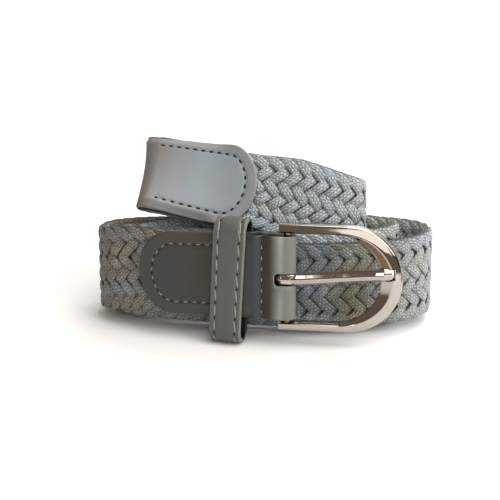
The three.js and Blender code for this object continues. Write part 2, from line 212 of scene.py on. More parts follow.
# %% Camera
CAMERA_AT, CAMERA_TARGET = (0, -540.9, 178.3), (0, 0, 33.4)
camera_data = bpy.data.cameras.new("camera")
camera_data.sensor_width, camera_data.lens = 36, 100
camera = bpy.data.objects.new("camera", camera_data)
bpy.context.collection.objects.link(camera)
eye, target = Vector(to_room(CAMERA_AT)), Vector(to_room(CAMERA_TARGET))
camera.location = eye
camera.rotation_euler = (target - eye).to_track_quat("-Z", "Y").to_euler()
bpy.context.scene.camera = camera
print(f"camera {(eye - target).length / MM:.0f} mm away")

# %% [markdown]
# ## Nodes written as sums
#
# Materials and Geometry Nodes trees are both node trees. A small class wraps a socket,
# so that a formula such as `1 - mask * 2` can be written as it is read, and one method
# makes every other kind of node.

# %% A socket that can be used in a sum
def math_method(operation, socket_last=False):
    """A method that adds a Math node; with socket_last its Socket comes second, as in 1 - mask."""
    def method(self, *values):
        values = (*values, self) if socket_last else (self, *values)
        return self.maths(operation, *values)

    return method


class Socket:
    def __init__(self, tree, socket):
        self.tree, self.socket = tree, socket

    def node(self, kind, inputs=None, output=0, stops=None, **settings):
        """A new node of this tree; inputs maps a socket's number or name to a value or Socket."""
        node = self.tree.nodes.new(kind)
        for name, value in settings.items():
            setattr(node, name, value)
        if stops:
            ramp = node.color_ramp.elements
            ramp[0].position, ramp[0].color = stops[0]
            ramp[1].position, ramp[1].color = stops[-1]
            for position, colour in stops[1:-1]:
                ramp.new(position).color = colour
        for key, value in (inputs or {}).items():
            if isinstance(value, Socket):
                self.tree.links.new(value.socket, node.inputs[key])
            elif value is not None:
                node.inputs[key].default_value = value
        return Socket(self.tree, node.outputs[output])

    def other(self, name):
        """Another output of the node that this one comes from."""
        return Socket(self.tree, self.socket.node.outputs[name])

    def maths(self, operation, *values):
        return self.node("ShaderNodeMath", dict(enumerate(values)), operation=operation)

    def vector(self, operation, second=None, scale=None, output=0):
        """Vector maths on this one, with a second vector or a number to scale by."""
        inputs = {0: self, 1: second, "Scale": scale}
        return self.node("ShaderNodeVectorMath", inputs, output, operation=operation)

    def limited(self, low, high):
        return self.maths("MINIMUM", self.maths("MAXIMUM", self, low), high)

    __add__ = __radd__ = math_method("ADD")
    __sub__ = math_method("SUBTRACT")
    __rsub__ = math_method("SUBTRACT", socket_last=True)
    __mul__ = __rmul__ = math_method("MULTIPLY")
    __truediv__ = math_method("DIVIDE")
    __pow__ = math_method("POWER")
    __mod__ = math_method("FLOORED_MODULO")
    __abs__ = math_method("ABSOLUTE")
    sin = math_method("SINE")
    sign = math_method("SIGN")
    above = math_method("GREATER_THAN")


print("a Socket knows", [name.strip("_") for name in vars(Socket) if callable(vars(Socket)[name])])

# %% [markdown]
# ## Materials
#
# Every finish here has a fine grain of its own. The helpers below start a material with
# one Principled shader; the finish's own cell then feeds colour, roughness and bump.

# %% Starting a material
def new_material(name, roughness, metallic=0.0, **sockets):
    """A material with one Principled shader, and a Socket to build its tree from."""
    material = bpy.data.materials.new(name)
    material.use_nodes = True
    tree = material.node_tree
    shader = tree.nodes["Principled BSDF"]
    for key, value in dict(sockets, Roughness=roughness, Metallic=metallic).items():
        shader.inputs[key.replace("_", " ")].default_value = value
    position = Socket(tree, tree.nodes.new("ShaderNodeTexCoord").outputs["Object"])
    return material, shader, position


def feed(shader, name, value):
    value.tree.links.new(value.socket, shader.inputs[name])


def noise(position, scale, detail=2.0, roughness=0.5):
    """Noise with features of about one over scale metres."""
    inputs = {"Vector": position, "Scale": scale, "Detail": detail, "Roughness": roughness}
    return position.node("ShaderNodeTexNoise", inputs)


def mix_colours(factor, a, b):
    a, b = (colour if isinstance(colour, Socket) else (*colour, 1) for colour in (a, b))
    return factor.node("ShaderNodeMix", {0: factor, 6: a, 7: b}, output=2, data_type="RGBA")


def tones_along(distance, tones):
    """A colour that goes through (mm, colour) rows as the distance grows."""
    longest = tones[-1][0]
    stops = [(mm / longest, (*tone, 1)) for mm, tone in tones]
    return distance.node("ShaderNodeValToRGB", {"Fac": distance / longest}, stops=stops)


def bump(height, strength, distance):
    return height.node("ShaderNodeBump", {"Height": height, "Strength": strength, "Distance": distance})


def attribute(position, name):
    return position.node("ShaderNodeAttribute", output="Fac", attribute_name=name)


print("ready for the belt's finishes")

# %% [markdown]
# ### Elastic cord
#
# Each cord of the braid is itself a little bundle of twisted yarns, four side by side,
# that lean one way and then the other. The cords carry numbers with them from the cell
# that makes them: how far along the cord a point is, how far across it, how high it
# rides over its neighbours, and its station on the strap. Stripes worked out from the
# first two follow every cord round its bends, which a pattern in room coordinates could
# never do. Painted shade draws the braid: the valleys between yarns, each cord's sides
# and the places where it dives under its neighbours are darker. The strap's grey also
# differs along its length, in a table of tones that follows what the photograph shows.
# It holds the strap's own grey with painted shade and light, in shares one picture can't tell.

# %% Elastic cord
YARNS, YARN_TWIST = 4, 1.55  # yarns side by side, and mm along the cord for one turn
# The strap's own grey with painted shade and light in it: darker from the bar to the first left bend, behind
# the buckle and in the frame's opening, and lighter along the back, the first right bend and the inner
# coils.
STRAP_GREYS = [  # mm from the bar, and the strap's grey there
    (0, (0.105, 0.097, 0.082)),
    (110, (0.105, 0.094, 0.079)),
    (165, (0.22, 0.215, 0.2)),
    (235, (0.24, 0.255, 0.272)),
    (266, (0.19, 0.197, 0.2)),
    (280, (0.13, 0.127, 0.112)),
    (286, (0.108, 0.102, 0.066)),
    (293, (0.098, 0.096, 0.07)),
    (301, (0.087, 0.101, 0.117)),
    (325, (0.082, 0.098, 0.115)),
    (350, (0.132, 0.134, 0.13)),
    (430, (0.235, 0.225, 0.195)),
    (540, (0.29, 0.305, 0.3)),
    (620, (0.27, 0.29, 0.292)),
    (700, (0.235, 0.26, 0.273)),
    (790, (0.218, 0.247, 0.265)),
]
WARM_PATCH, COOL_PATCH = (0.3, 0.29, 0.22), (0.25, 0.29, 0.34)

cord_material, shader, where = new_material("elastic_cord", 0.8, Sheen_Weight=0.15, Sheen_Roughness=0.5)
along, across = attribute(where, "along"), attribute(where, "across")
yarn_at = (across + 1) * (YARNS / 2)  # 0 to 4 over the cord
leaning = (yarn_at * 0.5 % 1.0).above(0.5) * 2 - 1  # 1 or -1 by turns
in_yarn = abs(yarn_at % 1.0 - 0.5) * 2  # 0 on a yarn's crest, 1 in the valley
turns = along / YARN_TWIST + leaning * (yarn_at % 1.0) * 0.5 + noise(where, 500, 1) * 0.7
stripe = (turns * (2 * math.pi)).sin() * 0.5 + 0.5
fleck = noise(where, 900, 2, 0.6)
# Painted shade: a yarn's valleys are darker than its crest.
lit = (stripe * 0.5 + (1 - in_yarn * in_yarn) * 0.5 + (fleck - 0.5) * 0.8).limited(0, 1)
# Painted shade along each cord's sides and where it dives under its neighbours.
sides = 1 - ((abs(across) - 0.66) * 3.0).limited(0, 1) * 0.7
depth = ((attribute(where, "over") + 0.6) * 1.05).limited(0.42, 1)
strength = (lit * 1.85 + 0.27) * sides * depth
patch = noise(where, 70, 2) - 0.5
# The strap's own grey with painted shade and light in it, and random warm and cool patches.
dye_and_painted_light = tones_along(attribute(where, "station"), STRAP_GREYS)
dye_and_painted_light = mix_colours((patch * 1.6).limited(0, 0.3), dye_and_painted_light, WARM_PATCH)
dye_and_painted_light = mix_colours((patch * -1.6).limited(0, 0.3), dye_and_painted_light, COOL_PATCH)
feed(shader, "Base Color", dye_and_painted_light.vector("SCALE", scale=strength))
feed(shader, "Normal", bump(stripe * 0.7 - in_yarn * 0.7 + fleck * 0.6, 0.7, 0.2 * MM))
print("elastic_cord has", len(cord_material.node_tree.nodes), "nodes")

# %% [markdown]
# ### Leather
#
# The ends are smooth grey leather with a fine even grain and a soft gloss. They don't
# look one grey: pale where the tab bends round the bar, which is painted light, dark in
# the hollow next to the cross seam, which is painted shade, and paler again outside the
# seams. The tip is darker along its rounded fold, which is painted shade too. The tones
# only follow what one picture shows. The recipe takes a table of tones by their distance
# from the fold, a tone for the border outside the seam, and one for faint clouds. Cells
# of about a third of a millimetre make the grain.

# %% Leather
FROM_EVERYWHERE = -9  # a border that starts before the piece does


def leather(name, tones, border, clouds, roughness, border_width, border_from, gloss=0.5, coat=0.0):
    """A leather with tones by distance from its fold, and a border of border_width mm that
    starts border_from mm from the fold."""
    material, shader, where = new_material(
        name, roughness, Coat_Weight=coat, Coat_Roughness=0.35, Specular_IOR_Level=gloss)
    from_fold = attribute(where, "along")
    outside = 1 - ((attribute(where, "rim") - (border_width - 0.5)) * 1.2).limited(0, 1)
    outside = outside * ((from_fold - border_from) * 0.4).limited(0, 1)
    base = mix_colours(outside, tones_along(from_fold, tones), border)
    cloudy = (noise(where, 60, 3) * 2.4 - 0.7).limited(0, 1) * 0.5
    base = mix_colours(cloudy * from_fold.limited(0, 1), base, clouds)
    speck = abs(noise(where, 2600, 2) - 0.5) * 0.35
    feed(shader, "Base Color", mix_colours(speck, base, (0.02, 0.02, 0.02)))
    cells = where.node("ShaderNodeTexVoronoi", {"Vector": where, "Scale": 2900.0}, output="Distance")
    feed(shader, "Normal", bump(cells * 0.6 + noise(where, 900, 3) * 0.8, 0.1, 0.1 * MM))
    feed(shader, "Roughness", noise(where, 420, 2) * 0.16 + (roughness - 0.08))
    return material


# Painted light at the bend round the bar, and painted shade in the hollow by the cross seam.
TAB_TONES = [
    (0, (0.16, 0.162, 0.15)),  # behind the bar
    (1.8, (0.31, 0.318, 0.305)),  # the bend, the palest part, painted light
    (3.8, (0.16, 0.158, 0.14)),
    (6.2, (0.026, 0.022, 0.017)),
    (9.6, (0.017, 0.015, 0.012)),  # the cross seam, with painted shade in its hollow
    (10.2, (0.028, 0.036, 0.042)),
    (17, (0.03, 0.037, 0.042)),
    (28, (0.036, 0.029, 0.019)),  # left of the loop
    (36, (0.036, 0.03, 0.021)),
    (44, (0.04, 0.038, 0.034)),
    (53, (0.04, 0.04, 0.038)),
    (60, (0.065, 0.068, 0.07)),  # the round end
]
tab_leather = leather(
    "tab_leather", TAB_TONES, (0.05, 0.048, 0.042), (0.042, 0.041, 0.037), 0.42,
    border_width=4.9, border_from=13, gloss=0.33)
# The loop counts from 0 on its hidden face to 1 and over on its outer one. The hidden
# face is nearly black, painted shade in the loop's hollow, and the pale border is the
# cut edge with a painted highlight on it.
LOOP_TONES = [(0, (0.006, 0.006, 0.006)), (1, (0.072, 0.077, 0.073)), (2, (0.072, 0.077, 0.073))]
loop_leather = leather(
    "loop_leather", LOOP_TONES, (0.18, 0.185, 0.17), (0.09, 0.091, 0.08), 0.48,
    border_width=0.6, border_from=FROM_EVERYWHERE)
# Darker towards the fold: painted shade along the tip's rounded fold.
TIP_TONES = [
    (0, (0.15, 0.14, 0.13)),  # the fold at the free end, with painted shade along it
    (3.5, (0.19, 0.183, 0.178)),
    (9, (0.235, 0.243, 0.252)),
    (20, (0.25, 0.295, 0.332)),
    (43, (0.235, 0.275, 0.307)),  # the round end
]
tip_leather = leather(
    "tip_leather", TIP_TONES, (0.235, 0.242, 0.258), (0.2, 0.23, 0.25), 0.36,
    border_width=4.3, border_from=4, coat=0.15)
print("leathers:", [m.name for m in bpy.data.materials if m.name.endswith("leather")])

# %% [markdown]
# ### Thread and needle holes
#
# The thread is grey polyester, twisted, a little lighter than the leather. Where it goes
# in, the leather is pierced, and a dark oval there is painted shade in the hole.

# %% Thread and needle holes
PLY_TURNS = 9000  # radians over a metre of the thread's twist
thread_material, shader, where = new_material("thread", 0.65, Sheen_Weight=0.2)
axes = where.node("ShaderNodeSeparateXYZ", {0: where})
ply = (axes * PLY_TURNS + axes.other("Z") * PLY_TURNS).sin()
feed(shader, "Base Color", mix_colours(ply * 0.5 + 0.5, (0.16, 0.16, 0.145), (0.33, 0.33, 0.305)))
feed(shader, "Normal", bump(ply, 0.5, 0.1 * MM))

# Painted shade: a nearly black body stands for the shadow inside each needle hole.
hole_shade, shader, where = new_material("needle_hole_shade", 0.9)
feed(shader, "Base Color", mix_colours(noise(where, 3000), (0.006, 0.006, 0.006), (0.02, 0.019, 0.018)))
print("thread and needle_hole_shade made")

# %% [markdown]
# ### Polished nickel
#
# The buckle is cast metal with a warm nickel plating. Almost all of its look comes from
# what it mirrors. Its gloss is slightly uneven and its surface waves a little, which
# keeps it from looking like glass. Where the frame's own cell marks the metal, the
# plating is made darker: painted shade on the bar, and on the bevel and rim a painted
# dark reflection, in place of dark surroundings that it would mirror.

# %% Polished nickel
nickel, shader, where = new_material("polished_nickel", 0.05, metallic=1.0)
haze = noise(where, 160, 3)
plating = mix_colours(haze, (0.4, 0.37, 0.335), (0.44, 0.41, 0.37))
# Darker where marked: painted shade on the bar, a painted dark reflection on the bevel and rim.
feed(shader, "Base Color", mix_colours(attribute(where, "bevel"), plating, (0.14, 0.095, 0.062)))
feed(shader, "Roughness", haze * 0.05 + 0.035)
feed(shader, "Normal", bump(noise(where, 350), 0.012, 0.2 * MM))
print("polished_nickel made")

# %% [markdown]
# ## The braid
#
# Thirteen cords run in zigzags from one edge of the strap to the other. Each one goes
# over two others, then under two. On a flat braid the cord that lies on top depends only
# on the place across the strap, so the outer face shows six rows of slanted cords that
# lean left and right by turns. That is a rule, and a rule is best drawn by Geometry Nodes.
#
# First comes a bare sheet along the middle of the strap. It carries the strap's own
# coordinates as a UV map, and how many zigzags have been made so far, because the braid
# is a little looser behind the buckle than near its two ends. It also says how far the
# strap is pulled askew and how far the leather squeezes it. The tree lays its cords on it.

# %% The strap's middle sheet
CORDS = 13
BRAID_FROM, BRAID_TO = 13.0, TIP_FOLD - 0.5
SHEET_HALF, SHEET_COLUMNS = 18.0, 12
# Each of these is a list of stations in mm and a list of what holds there.
PITCH_AT = (  # mm between cords of one slant
    [0, 130, 230, 300, 420, 620, 740, 830],
    [5.2, 5.2, 5.7, 6.4, 6.3, 6.0, 5.5, 5.5],
)
SHEAR_AT = ([0, 690, 725, 765, 790, 830], [0, 0, 0.26, 0.26, 0.05, 0])  # askew where it rises
TRAVEL_AT = ([0, 18, 30, 783, 797, 830], [0.93, 0.93, 1.01, 1, 0.86, 0.86])  # narrower in leather


def mesh_object(name, points, faces, edges=()):
    """An object at the origin with this mesh."""
    mesh = bpy.data.meshes.new(name)
    mesh.from_pydata([tuple(p) for p in points], edges, faces)
    mesh.validate()
    mesh.polygons.foreach_set("use_smooth", [True] * len(mesh.polygons))
    made = bpy.data.objects.new(name, mesh)
    bpy.context.collection.objects.link(made)
    return made


def note(piece, name, values, kind="FLOAT", field="value"):
    """Notes a number or a vector on each point of a piece, for a material or a tree to read."""
    values = np.asarray(values, float).ravel()
    piece.data.attributes.new(name, kind, "POINT").data.foreach_set(field, values)


def ring_faces(tall, wide, closed=False):
    """Faces between rings of points, which go on from the last ring to the first if closed."""
    faces = []
    for i in range(tall if closed else tall - 1):
        here, there = i * wide, (i + 1) % tall * wide
        for k in range(wide):
            after = (k + 1) % wide
            faces.append((here + k, here + after, there + after, there + k))
    return faces


stations = np.arange(BRAID_FROM - 1, BRAID_TO + 1.01, 1.0)
sheet_length = stations[-1] - stations[0]
wide = SHEET_COLUMNS + 1
grid_s, grid_v = np.meshgrid(stations, np.linspace(-SHEET_HALF, SHEET_HALF, wide), indexing="ij")
quads = [(i * wide + k, i * wide + k + 1, (i + 1) * wide + k + 1, (i + 1) * wide + k)
         for i in range(len(stations) - 1) for k in range(wide - 1)]
strap_sheet = mesh_object("strap_sheet", place(grid_s, grid_v, 0).reshape(-1, 3), quads)
corner = np.empty(len(strap_sheet.data.loops), int)
strap_sheet.data.loops.foreach_get("vertex_index", corner)
uv = np.stack([(grid_s - stations[0]) / sheet_length, grid_v / (2 * SHEET_HALF) + 0.5], axis=-1)
uv = uv.reshape(-1, 2)[corner].ravel()
strap_sheet.data.uv_layers.new(name="strap").data.foreach_set("uv", uv)
zigzags = np.concatenate([[0], np.cumsum(1 / (CORDS * np.interp(stations[1:], *PITCH_AT)))])
note(strap_sheet, "zigzags", np.repeat(zigzags, wide))
note(strap_sheet, "shear", np.repeat(np.interp(stations, *SHEAR_AT), wide))
note(strap_sheet, "travel", np.repeat(np.interp(stations, *TRAVEL_AT), wide))
print(f"{zigzags[-1]:.1f} zigzags on a sheet {sheet_length:.0f} mm long")

# %% [markdown]
# The tree below starts from straight lines, one for each cord, whose points count from 0
# to 1 along the strap. Formulas turn each point into a place across the strap and a
# height over its middle sheet, and the sheet itself says where that is in the room.
# Every tree here begins with named inputs and ends the same way, so two helpers do that.

# %% Starting and ending a tree
def new_tree(name, sockets):
    """A Geometry Nodes tree with named inputs; returns it, its inputs as Sockets, and their identifiers."""
    tree = bpy.data.node_groups.new(name, "GeometryNodeTree")
    for way in ("OUTPUT", "INPUT"):
        tree.interface.new_socket("Geometry", in_out=way, socket_type="NodeSocketGeometry")
    names = {}
    for label, kind, default in sockets:
        item = tree.interface.new_socket(label, in_out="INPUT", socket_type=kind)
        if default is not None:
            item.default_value = default
        names[label] = item.identifier
    start = tree.nodes.new("NodeGroupInput")
    return tree, {out.name: Socket(tree, out) for out in start.outputs if out.name}, names


def end_tree(made, material):
    """Real mesh in place of instances, smooth, in its material."""
    made = made.node("GeometryNodeRealizeInstances", {"Geometry": made})
    made = made.node("GeometryNodeSetShadeSmooth", {"Geometry": made, "Shade Smooth": True})
    made = made.node("GeometryNodeSetMaterial", {"Geometry": made, "Material": material})
    end = made.tree.nodes.new("NodeGroupOutput")
    made.tree.links.new(made.socket, end.inputs[0])
    print(made.tree.name, "has", len(made.tree.nodes), "nodes")


def store(geometry, name, value, kind="FLOAT"):
    """Keeps a value on the geometry's points under a name."""
    inputs = {"Geometry": geometry, "Name": name, "Value": value}
    return geometry.node("GeometryNodeStoreNamedAttribute", inputs, data_type=kind, domain="POINT")


def stored(geometry, name, kind="FLOAT"):
    return geometry.node("GeometryNodeInputNamedAttribute", {"Name": name}, data_type=kind)


braid_tree, given, braid_inputs = new_tree("flat_braid", [
    ("First cord", "NodeSocketInt", 0),
    ("Cords made", "NodeSocketInt", 5),
    ("Cords in the braid", "NodeSocketInt", CORDS),
    ("Points on a cord", "NodeSocketInt", 940),
    ("Travel across", "NodeSocketFloat", 15.4 * MM),
    ("Strap sheet half width", "NodeSocketFloat", SHEET_HALF * MM),
    ("Strap sheet start", "NodeSocketFloat", stations[0] * MM),
    ("Strap sheet length", "NodeSocketFloat", sheet_length * MM),
    ("Height of a crossing", "NodeSocketFloat", 1.25 * MM),
    ("Cord width", "NodeSocketFloat", 4.65 * MM),
    ("Cord thickness", "NodeSocketFloat", 2.1 * MM),
    ("Cord material", "NodeSocketMaterial", None),
])
print("flat_braid takes", ", ".join(braid_inputs))

# %% [markdown]
# The zigzag is the inverse sine of a sine, which is straight between its turns. The sine
# is made a little smaller first, because a real cord turns back in a small round bend
# and runs along the strap's edge for a moment. Six half waves across the strap then say
# whether a cord that climbs is on top or underneath, and one that falls does the reverse.

# %% Where the cords run
SHEET_SHARE = 0.9985  # of the sheet's length, so that no cord ends outside it
ROUND_TURN = 0.955  # under 1: how sharply a cord turns back at the strap's edge
ALONG_EDGE = 1.13  # over 1: how long it runs along the edge before it does
ROWS = 6
SQUARE_WAVE = 0.4  # how flat the tops of the crossings are

sheet = given["Geometry"]
line = sheet.node("GeometryNodeCurvePrimitiveLine", {"Start": (0, 0, 0), "End": (1, 0, 0)}, mode="POINTS")
fine = {"Curve": line, "Count": given["Points on a cord"]}
line = sheet.node("GeometryNodeResampleCurve", fine, mode="COUNT")
one_each = {"Count": given["Cords made"], "Offset": (0, 1, 0)}
starts = sheet.node("GeometryNodeMeshLine", one_each, mode="OFFSET")
lines = sheet.node("GeometryNodeInstanceOnPoints", {"Points": starts, "Instance": line})
lines = sheet.node("GeometryNodeRealizeInstances", {"Geometry": lines})
on_strap = sheet.node("ShaderNodeSeparateXYZ", {0: sheet.node("GeometryNodeInputPosition")})
cord = on_strap.other("Y") + given["First cord"]
strap_uv = stored(sheet, "strap", "FLOAT_VECTOR")


def from_sheet(value, u, v, kind="FLOAT_VECTOR"):
    """What the strap's sheet says at a place in its own coordinates."""
    at = sheet.node("ShaderNodeCombineXYZ", {"X": u, "Y": v})
    inputs = {"Mesh": sheet, "Value": value, "UV Map": strap_uv, "Sample UV": at}
    return sheet.node("GeometryNodeSampleUVSurface", inputs, data_type=kind)


u = on_strap * SHEET_SHARE + (1 - SHEET_SHARE) / 2
zigzags_here, shear_here, travel_here = (
    from_sheet(stored(sheet, name), u, 0.5, "FLOAT") for name in ("zigzags", "shear", "travel"))
phase = (zigzags_here + cord / given["Cords in the braid"]) * (2 * math.pi)
zigzag = phase.maths("ARCSINE", phase.sin() * ROUND_TURN) / math.asin(ROUND_TURN)
swing = zigzag.sign() * zigzag.maths("SMOOTH_MIN", abs(zigzag) * ALONG_EDGE, 1.0, 0.1)
wave = ((1 - zigzag) * (ROWS / 2 * math.pi)).sin()
climbing = (phase + math.pi / 2).sin().sign()
over = climbing * wave * (1 + SQUARE_WAVE - wave * wave * SQUARE_WAVE)
v_offset = swing * given["Travel across"] * travel_here
across_sheet = v_offset / (given["Strap sheet half width"] * 2) + 0.5
askew = u + v_offset * shear_here / given["Strap sheet length"]
middle = from_sheet(sheet.node("GeometryNodeInputPosition"), askew, across_sheet)
normal = from_sheet(sheet.node("GeometryNodeInputNormal"), askew, across_sheet)
spot = middle.vector("ADD", normal.vector("SCALE", scale=over * given["Height of a crossing"]))
print("with the cords' places the tree has", len(braid_tree.nodes), "nodes")

# %% [markdown]
# The cords then become curves in the room. A curve's section turns freely round it
# unless it is told which way is up, so each point keeps the sheet's normal, made square
# to the cord. How far along and how high a point is goes with it for the material.

# %% Lay the cords
THINNER_ON_TOP = 0.02
kept = store(lines, "station", (u * given["Strap sheet length"] + given["Strap sheet start"]) / MM)
kept = store(kept, "climb", over)
kept = store(kept, "upright", normal, "FLOAT_VECTOR")
radius = 1 + THINNER_ON_TOP - over * THINNER_ON_TOP
kept = sheet.node("GeometryNodeSetCurveRadius", {"Curve": kept, "Radius": radius})
laid = sheet.node("GeometryNodeSetPosition", {"Geometry": kept, "Position": spot})
upright = stored(sheet, "upright", "FLOAT_VECTOR")
tangent = sheet.node("GeometryNodeInputTangent")
lean_part = tangent.vector("SCALE", scale=upright.vector("DOT_PRODUCT", tangent, output="Value"))
square = upright.vector("SUBTRACT", lean_part).vector("NORMALIZE")
laid = sheet.node("GeometryNodeSetCurveNormal", {"Curve": laid, "Normal": square}, mode="FREE")
laid = store(laid, "along", sheet.node("GeometryNodeSplineParameter").other("Length") / MM)
print("with the cords laid it has", len(braid_tree.nodes))

# %% [markdown]
# The section of a cord has sixteen points. They go across the top from one side to the
# other and back along the underside, and every second one sits in a valley between two
# yarns.

# %% The cord's section, and the end of the tree
SECTION_POINTS, BOXINESS, VALLEY = 16, 2.6, 0.24
step = sheet.node("GeometryNodeInputIndex")
half_way = SECTION_POINTS / 2 - abs(step - SECTION_POINTS / 2)
flat = 1 - half_way / (SECTION_POINTS / 4)  # 1 to -1 and back
crest = 1 - (1 - half_way % 2) * VALLEY
arch = ((1 - abs(flat) ** BOXINESS).limited(0, 1) ** (1 / BOXINESS)) * crest
face = arch * (step.above(SECTION_POINTS / 2 + 0.5) * -2 + 1)  # up on top, down underneath
section = sheet.node("ShaderNodeCombineXYZ", {
    "X": face * given["Cord thickness"] * 0.5,
    "Y": flat * given["Cord width"] * 0.5,
})
circle = {"Resolution": SECTION_POINTS, "Radius": 1.0}
loop = sheet.node("GeometryNodeCurvePrimitiveCircle", circle, mode="RADIUS")
loop = store(store(loop, "across", flat), "face", face)
loop = sheet.node("GeometryNodeSetPosition", {"Geometry": loop, "Position": section})
swept = sheet.node("GeometryNodeCurveToMesh", {
    "Curve": laid,
    "Profile Curve": loop,
    "Scale": sheet.node("GeometryNodeInputRadius"),
    "Fill Caps": True,
})
swept = store(swept, "over", stored(sheet, "climb") * stored(sheet, "face").sign())
end_tree(swept, given["Cord material"])

# %% [markdown]
# A modifier runs the tree, and its result is then turned into a plain mesh. The braid is
# made in three pieces so that no mesh gets too heavy.

# %% Make the cords
def plain_mesh(piece):
    """The mesh that a piece's modifiers make of it. They come off afterwards."""
    done = piece.evaluated_get(bpy.context.evaluated_depsgraph_get())
    mesh = bpy.data.meshes.new_from_object(done)
    piece.modifiers.clear()
    return mesh


def run_tree(name, source, tree, values):
    """A plain mesh object from a Geometry Nodes tree run on a source object."""
    modifier = source.modifiers.new(name, "NODES")
    modifier.node_group = tree
    for identifier, value in values.items():
        modifier[identifier] = value
    source.update_tag()
    made = bpy.data.objects.new(name, plain_mesh(source))
    made.data.name = name
    bpy.context.collection.objects.link(made)
    return made


def settle(piece, body, slot, *nodes):
    """Puts a finished piece on its body, in place of CAD nodes if any are given."""
    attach(piece, body)
    if nodes:
        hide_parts(*nodes)
    piece.data.calc_loop_triangles()
    print(f"{piece.name}: {len(piece.data.loop_triangles)} triangles")


for first, made in ((0, 5), (5, 4), (9, 4)):
    cords = run_tree(f"braid_cords_{first + 1}_to_{first + made}", strap_sheet, braid_tree, {
        braid_inputs["First cord"]: first,
        braid_inputs["Cords made"]: made,
        braid_inputs["Cord material"]: cord_material,
    })
    settle(cords, "belt", "braid_cord", "braided_band")
bpy.data.objects.remove(strap_sheet)

# %% [markdown]
# ## The leather ends
#
# Each end is one strip of leather, folded over and sewn on both faces of the strap. A
# strip cut from a hide has rounded edges and is pulled in along its seams, and that is
# what tells leather from card. The mesh is therefore a fine grid on both faces of the
# strip. Its thickness fades to almost nothing over the last half millimetre before the
# outline, and it is pressed in along the seams.
#
# The rounded end of a leaf and the seam that runs inside it are the same line, drawn
# closer to or further from the rim.

# %% Outlines and seams
TAB_FOLD, TAB_LENGTH, TAB_BORDER = 0.6, 59.9, 5.2  # from the bar; of a leaf; from its rim to its seam
TIP_LENGTH, TIP_BORDER = 44.2, 4.6
CROSS_SEAM, CROSS_HALF = 9.7, 14.8  # its distance from the fold, and half its length
ROUND_END = 13.5  # how long the rounded end of a leaf is
LINE_STEP = 0.5


def u_line(length, inset, start, stop=None):
    """A line along a leaf's upper side, round its end and back to stop, as (s, v) rows."""
    angle = np.linspace(0.02, 1, 60) * math.pi / 2
    end_s = length - inset - (ROUND_END - inset) * (1 - np.cos(angle))
    end_v = (HALF_WIDTH - inset) * np.sin(angle)
    there = np.arange(start, end_s[-1] - LINE_STEP / 2, LINE_STEP)
    back = np.arange(start if stop is None else stop, end_s[-1] - LINE_STEP / 2, LINE_STEP)[::-1]
    s = np.concatenate([there, end_s[::-1], end_s, back])
    v = np.concatenate([np.full(len(there), end_v[-1]), end_v[::-1], -end_v, np.full(len(back), -end_v[-1])])
    return np.stack([s, v], axis=1)


def distance_to(points, line):
    """Distance from each (s, v) point to a broken line."""
    best = np.full(len(points), np.inf)
    for p, q in zip(line[:-1], line[1:]):
        d = q - p
        t = np.clip(((points - p) @ d) / max(d @ d, 1e-12), 0, 1)
        best = np.minimum(best, np.linalg.norm(points - p - t[:, None] * d, axis=1))
    return best


def rounding(distance, radius):
    """A rim's quarter circle: 0 at the rim, 1 from radius inwards."""
    return np.sqrt(np.clip(1 - (1 - np.clip(distance / radius, 0, 1)) ** 2, 0, 1))


def eased(x, low, high):
    """0 below low and 1 above high, with a soft step between them."""
    t = np.clip((x - low) / (high - low), 0, 1)
    return t * t * (3 - 2 * t)


tab_u = u_line(TAB_LENGTH, TAB_BORDER, 26.0)  # from under the loop
tip_u = u_line(TIP_LENGTH, TIP_BORDER, 0.9, 3.9)
cross = np.stack([np.full(60, CROSS_SEAM), np.linspace(CROSS_HALF, -CROSS_HALF, 60)], axis=1)
for name, line in (("tab", tab_u), ("tip", tip_u), ("cross", cross)):
    print(f"{name} seam: {np.linalg.norm(np.diff(line, axis=0), axis=1).sum():.0f} mm")

# %% [markdown]
# Leather that is sewn down is not flat. The buckle tab stands full round the bar, is
# drawn in at its cross seam, and thins along its long edges. The tip's two leaves close
# on each other along their long edges, away from the rounded end.

# %% How the leaves are drawn in
CROSS_DRAW, WAIST_AT_BAR, WAIST_AWAY = 1.7, 3.1, 1.25  # how deep, and how wide on either side
TAB_DRAW, TIP_DRAW = 1.0, 1.7  # how far the long edges are drawn in
DRAW_STARTS, DRAW_ENDS = (12, 16), (22, 12)  # mm from the tab's fold, and mm from a leaf's round end


def thinned_edges(s, v, length, border):
    """1 along the long edges of a leaf, 0 inside its seam and at its rounded end."""
    outside = eased(abs(v), HALF_WIDTH - border, HALF_WIDTH) ** 1.5
    return outside * (1 - eased(s, length - DRAW_ENDS[0], length - DRAW_ENDS[1]))


def tab_shape(s, v):
    """How far the buckle tab's leaves stand out from where they would lie flat, in mm."""
    waist = np.where(s > CROSS_SEAM, WAIST_AWAY, WAIST_AT_BAR)
    seam = -CROSS_DRAW * np.exp(-(((s - CROSS_SEAM) / waist) ** 2))
    return seam - TAB_DRAW * thinned_edges(s, v, TAB_LENGTH, TAB_BORDER) * eased(s, *DRAW_STARTS)


def tip_shape(s, v):
    """The same for the tip."""
    return -TIP_DRAW * thinned_edges(s, v, TIP_LENGTH, TIP_BORDER)


print("the cross seam draws the tab in by", -float(tab_shape(CROSS_SEAM, 0.0)), "mm")

# %% [markdown]
# The strip is laid down row by row: round end, front leaf, fold, back leaf, round end.
# Rows and columns are close together near a rim or a seam, where the leather turns
# sharply, and further apart where it is plain.

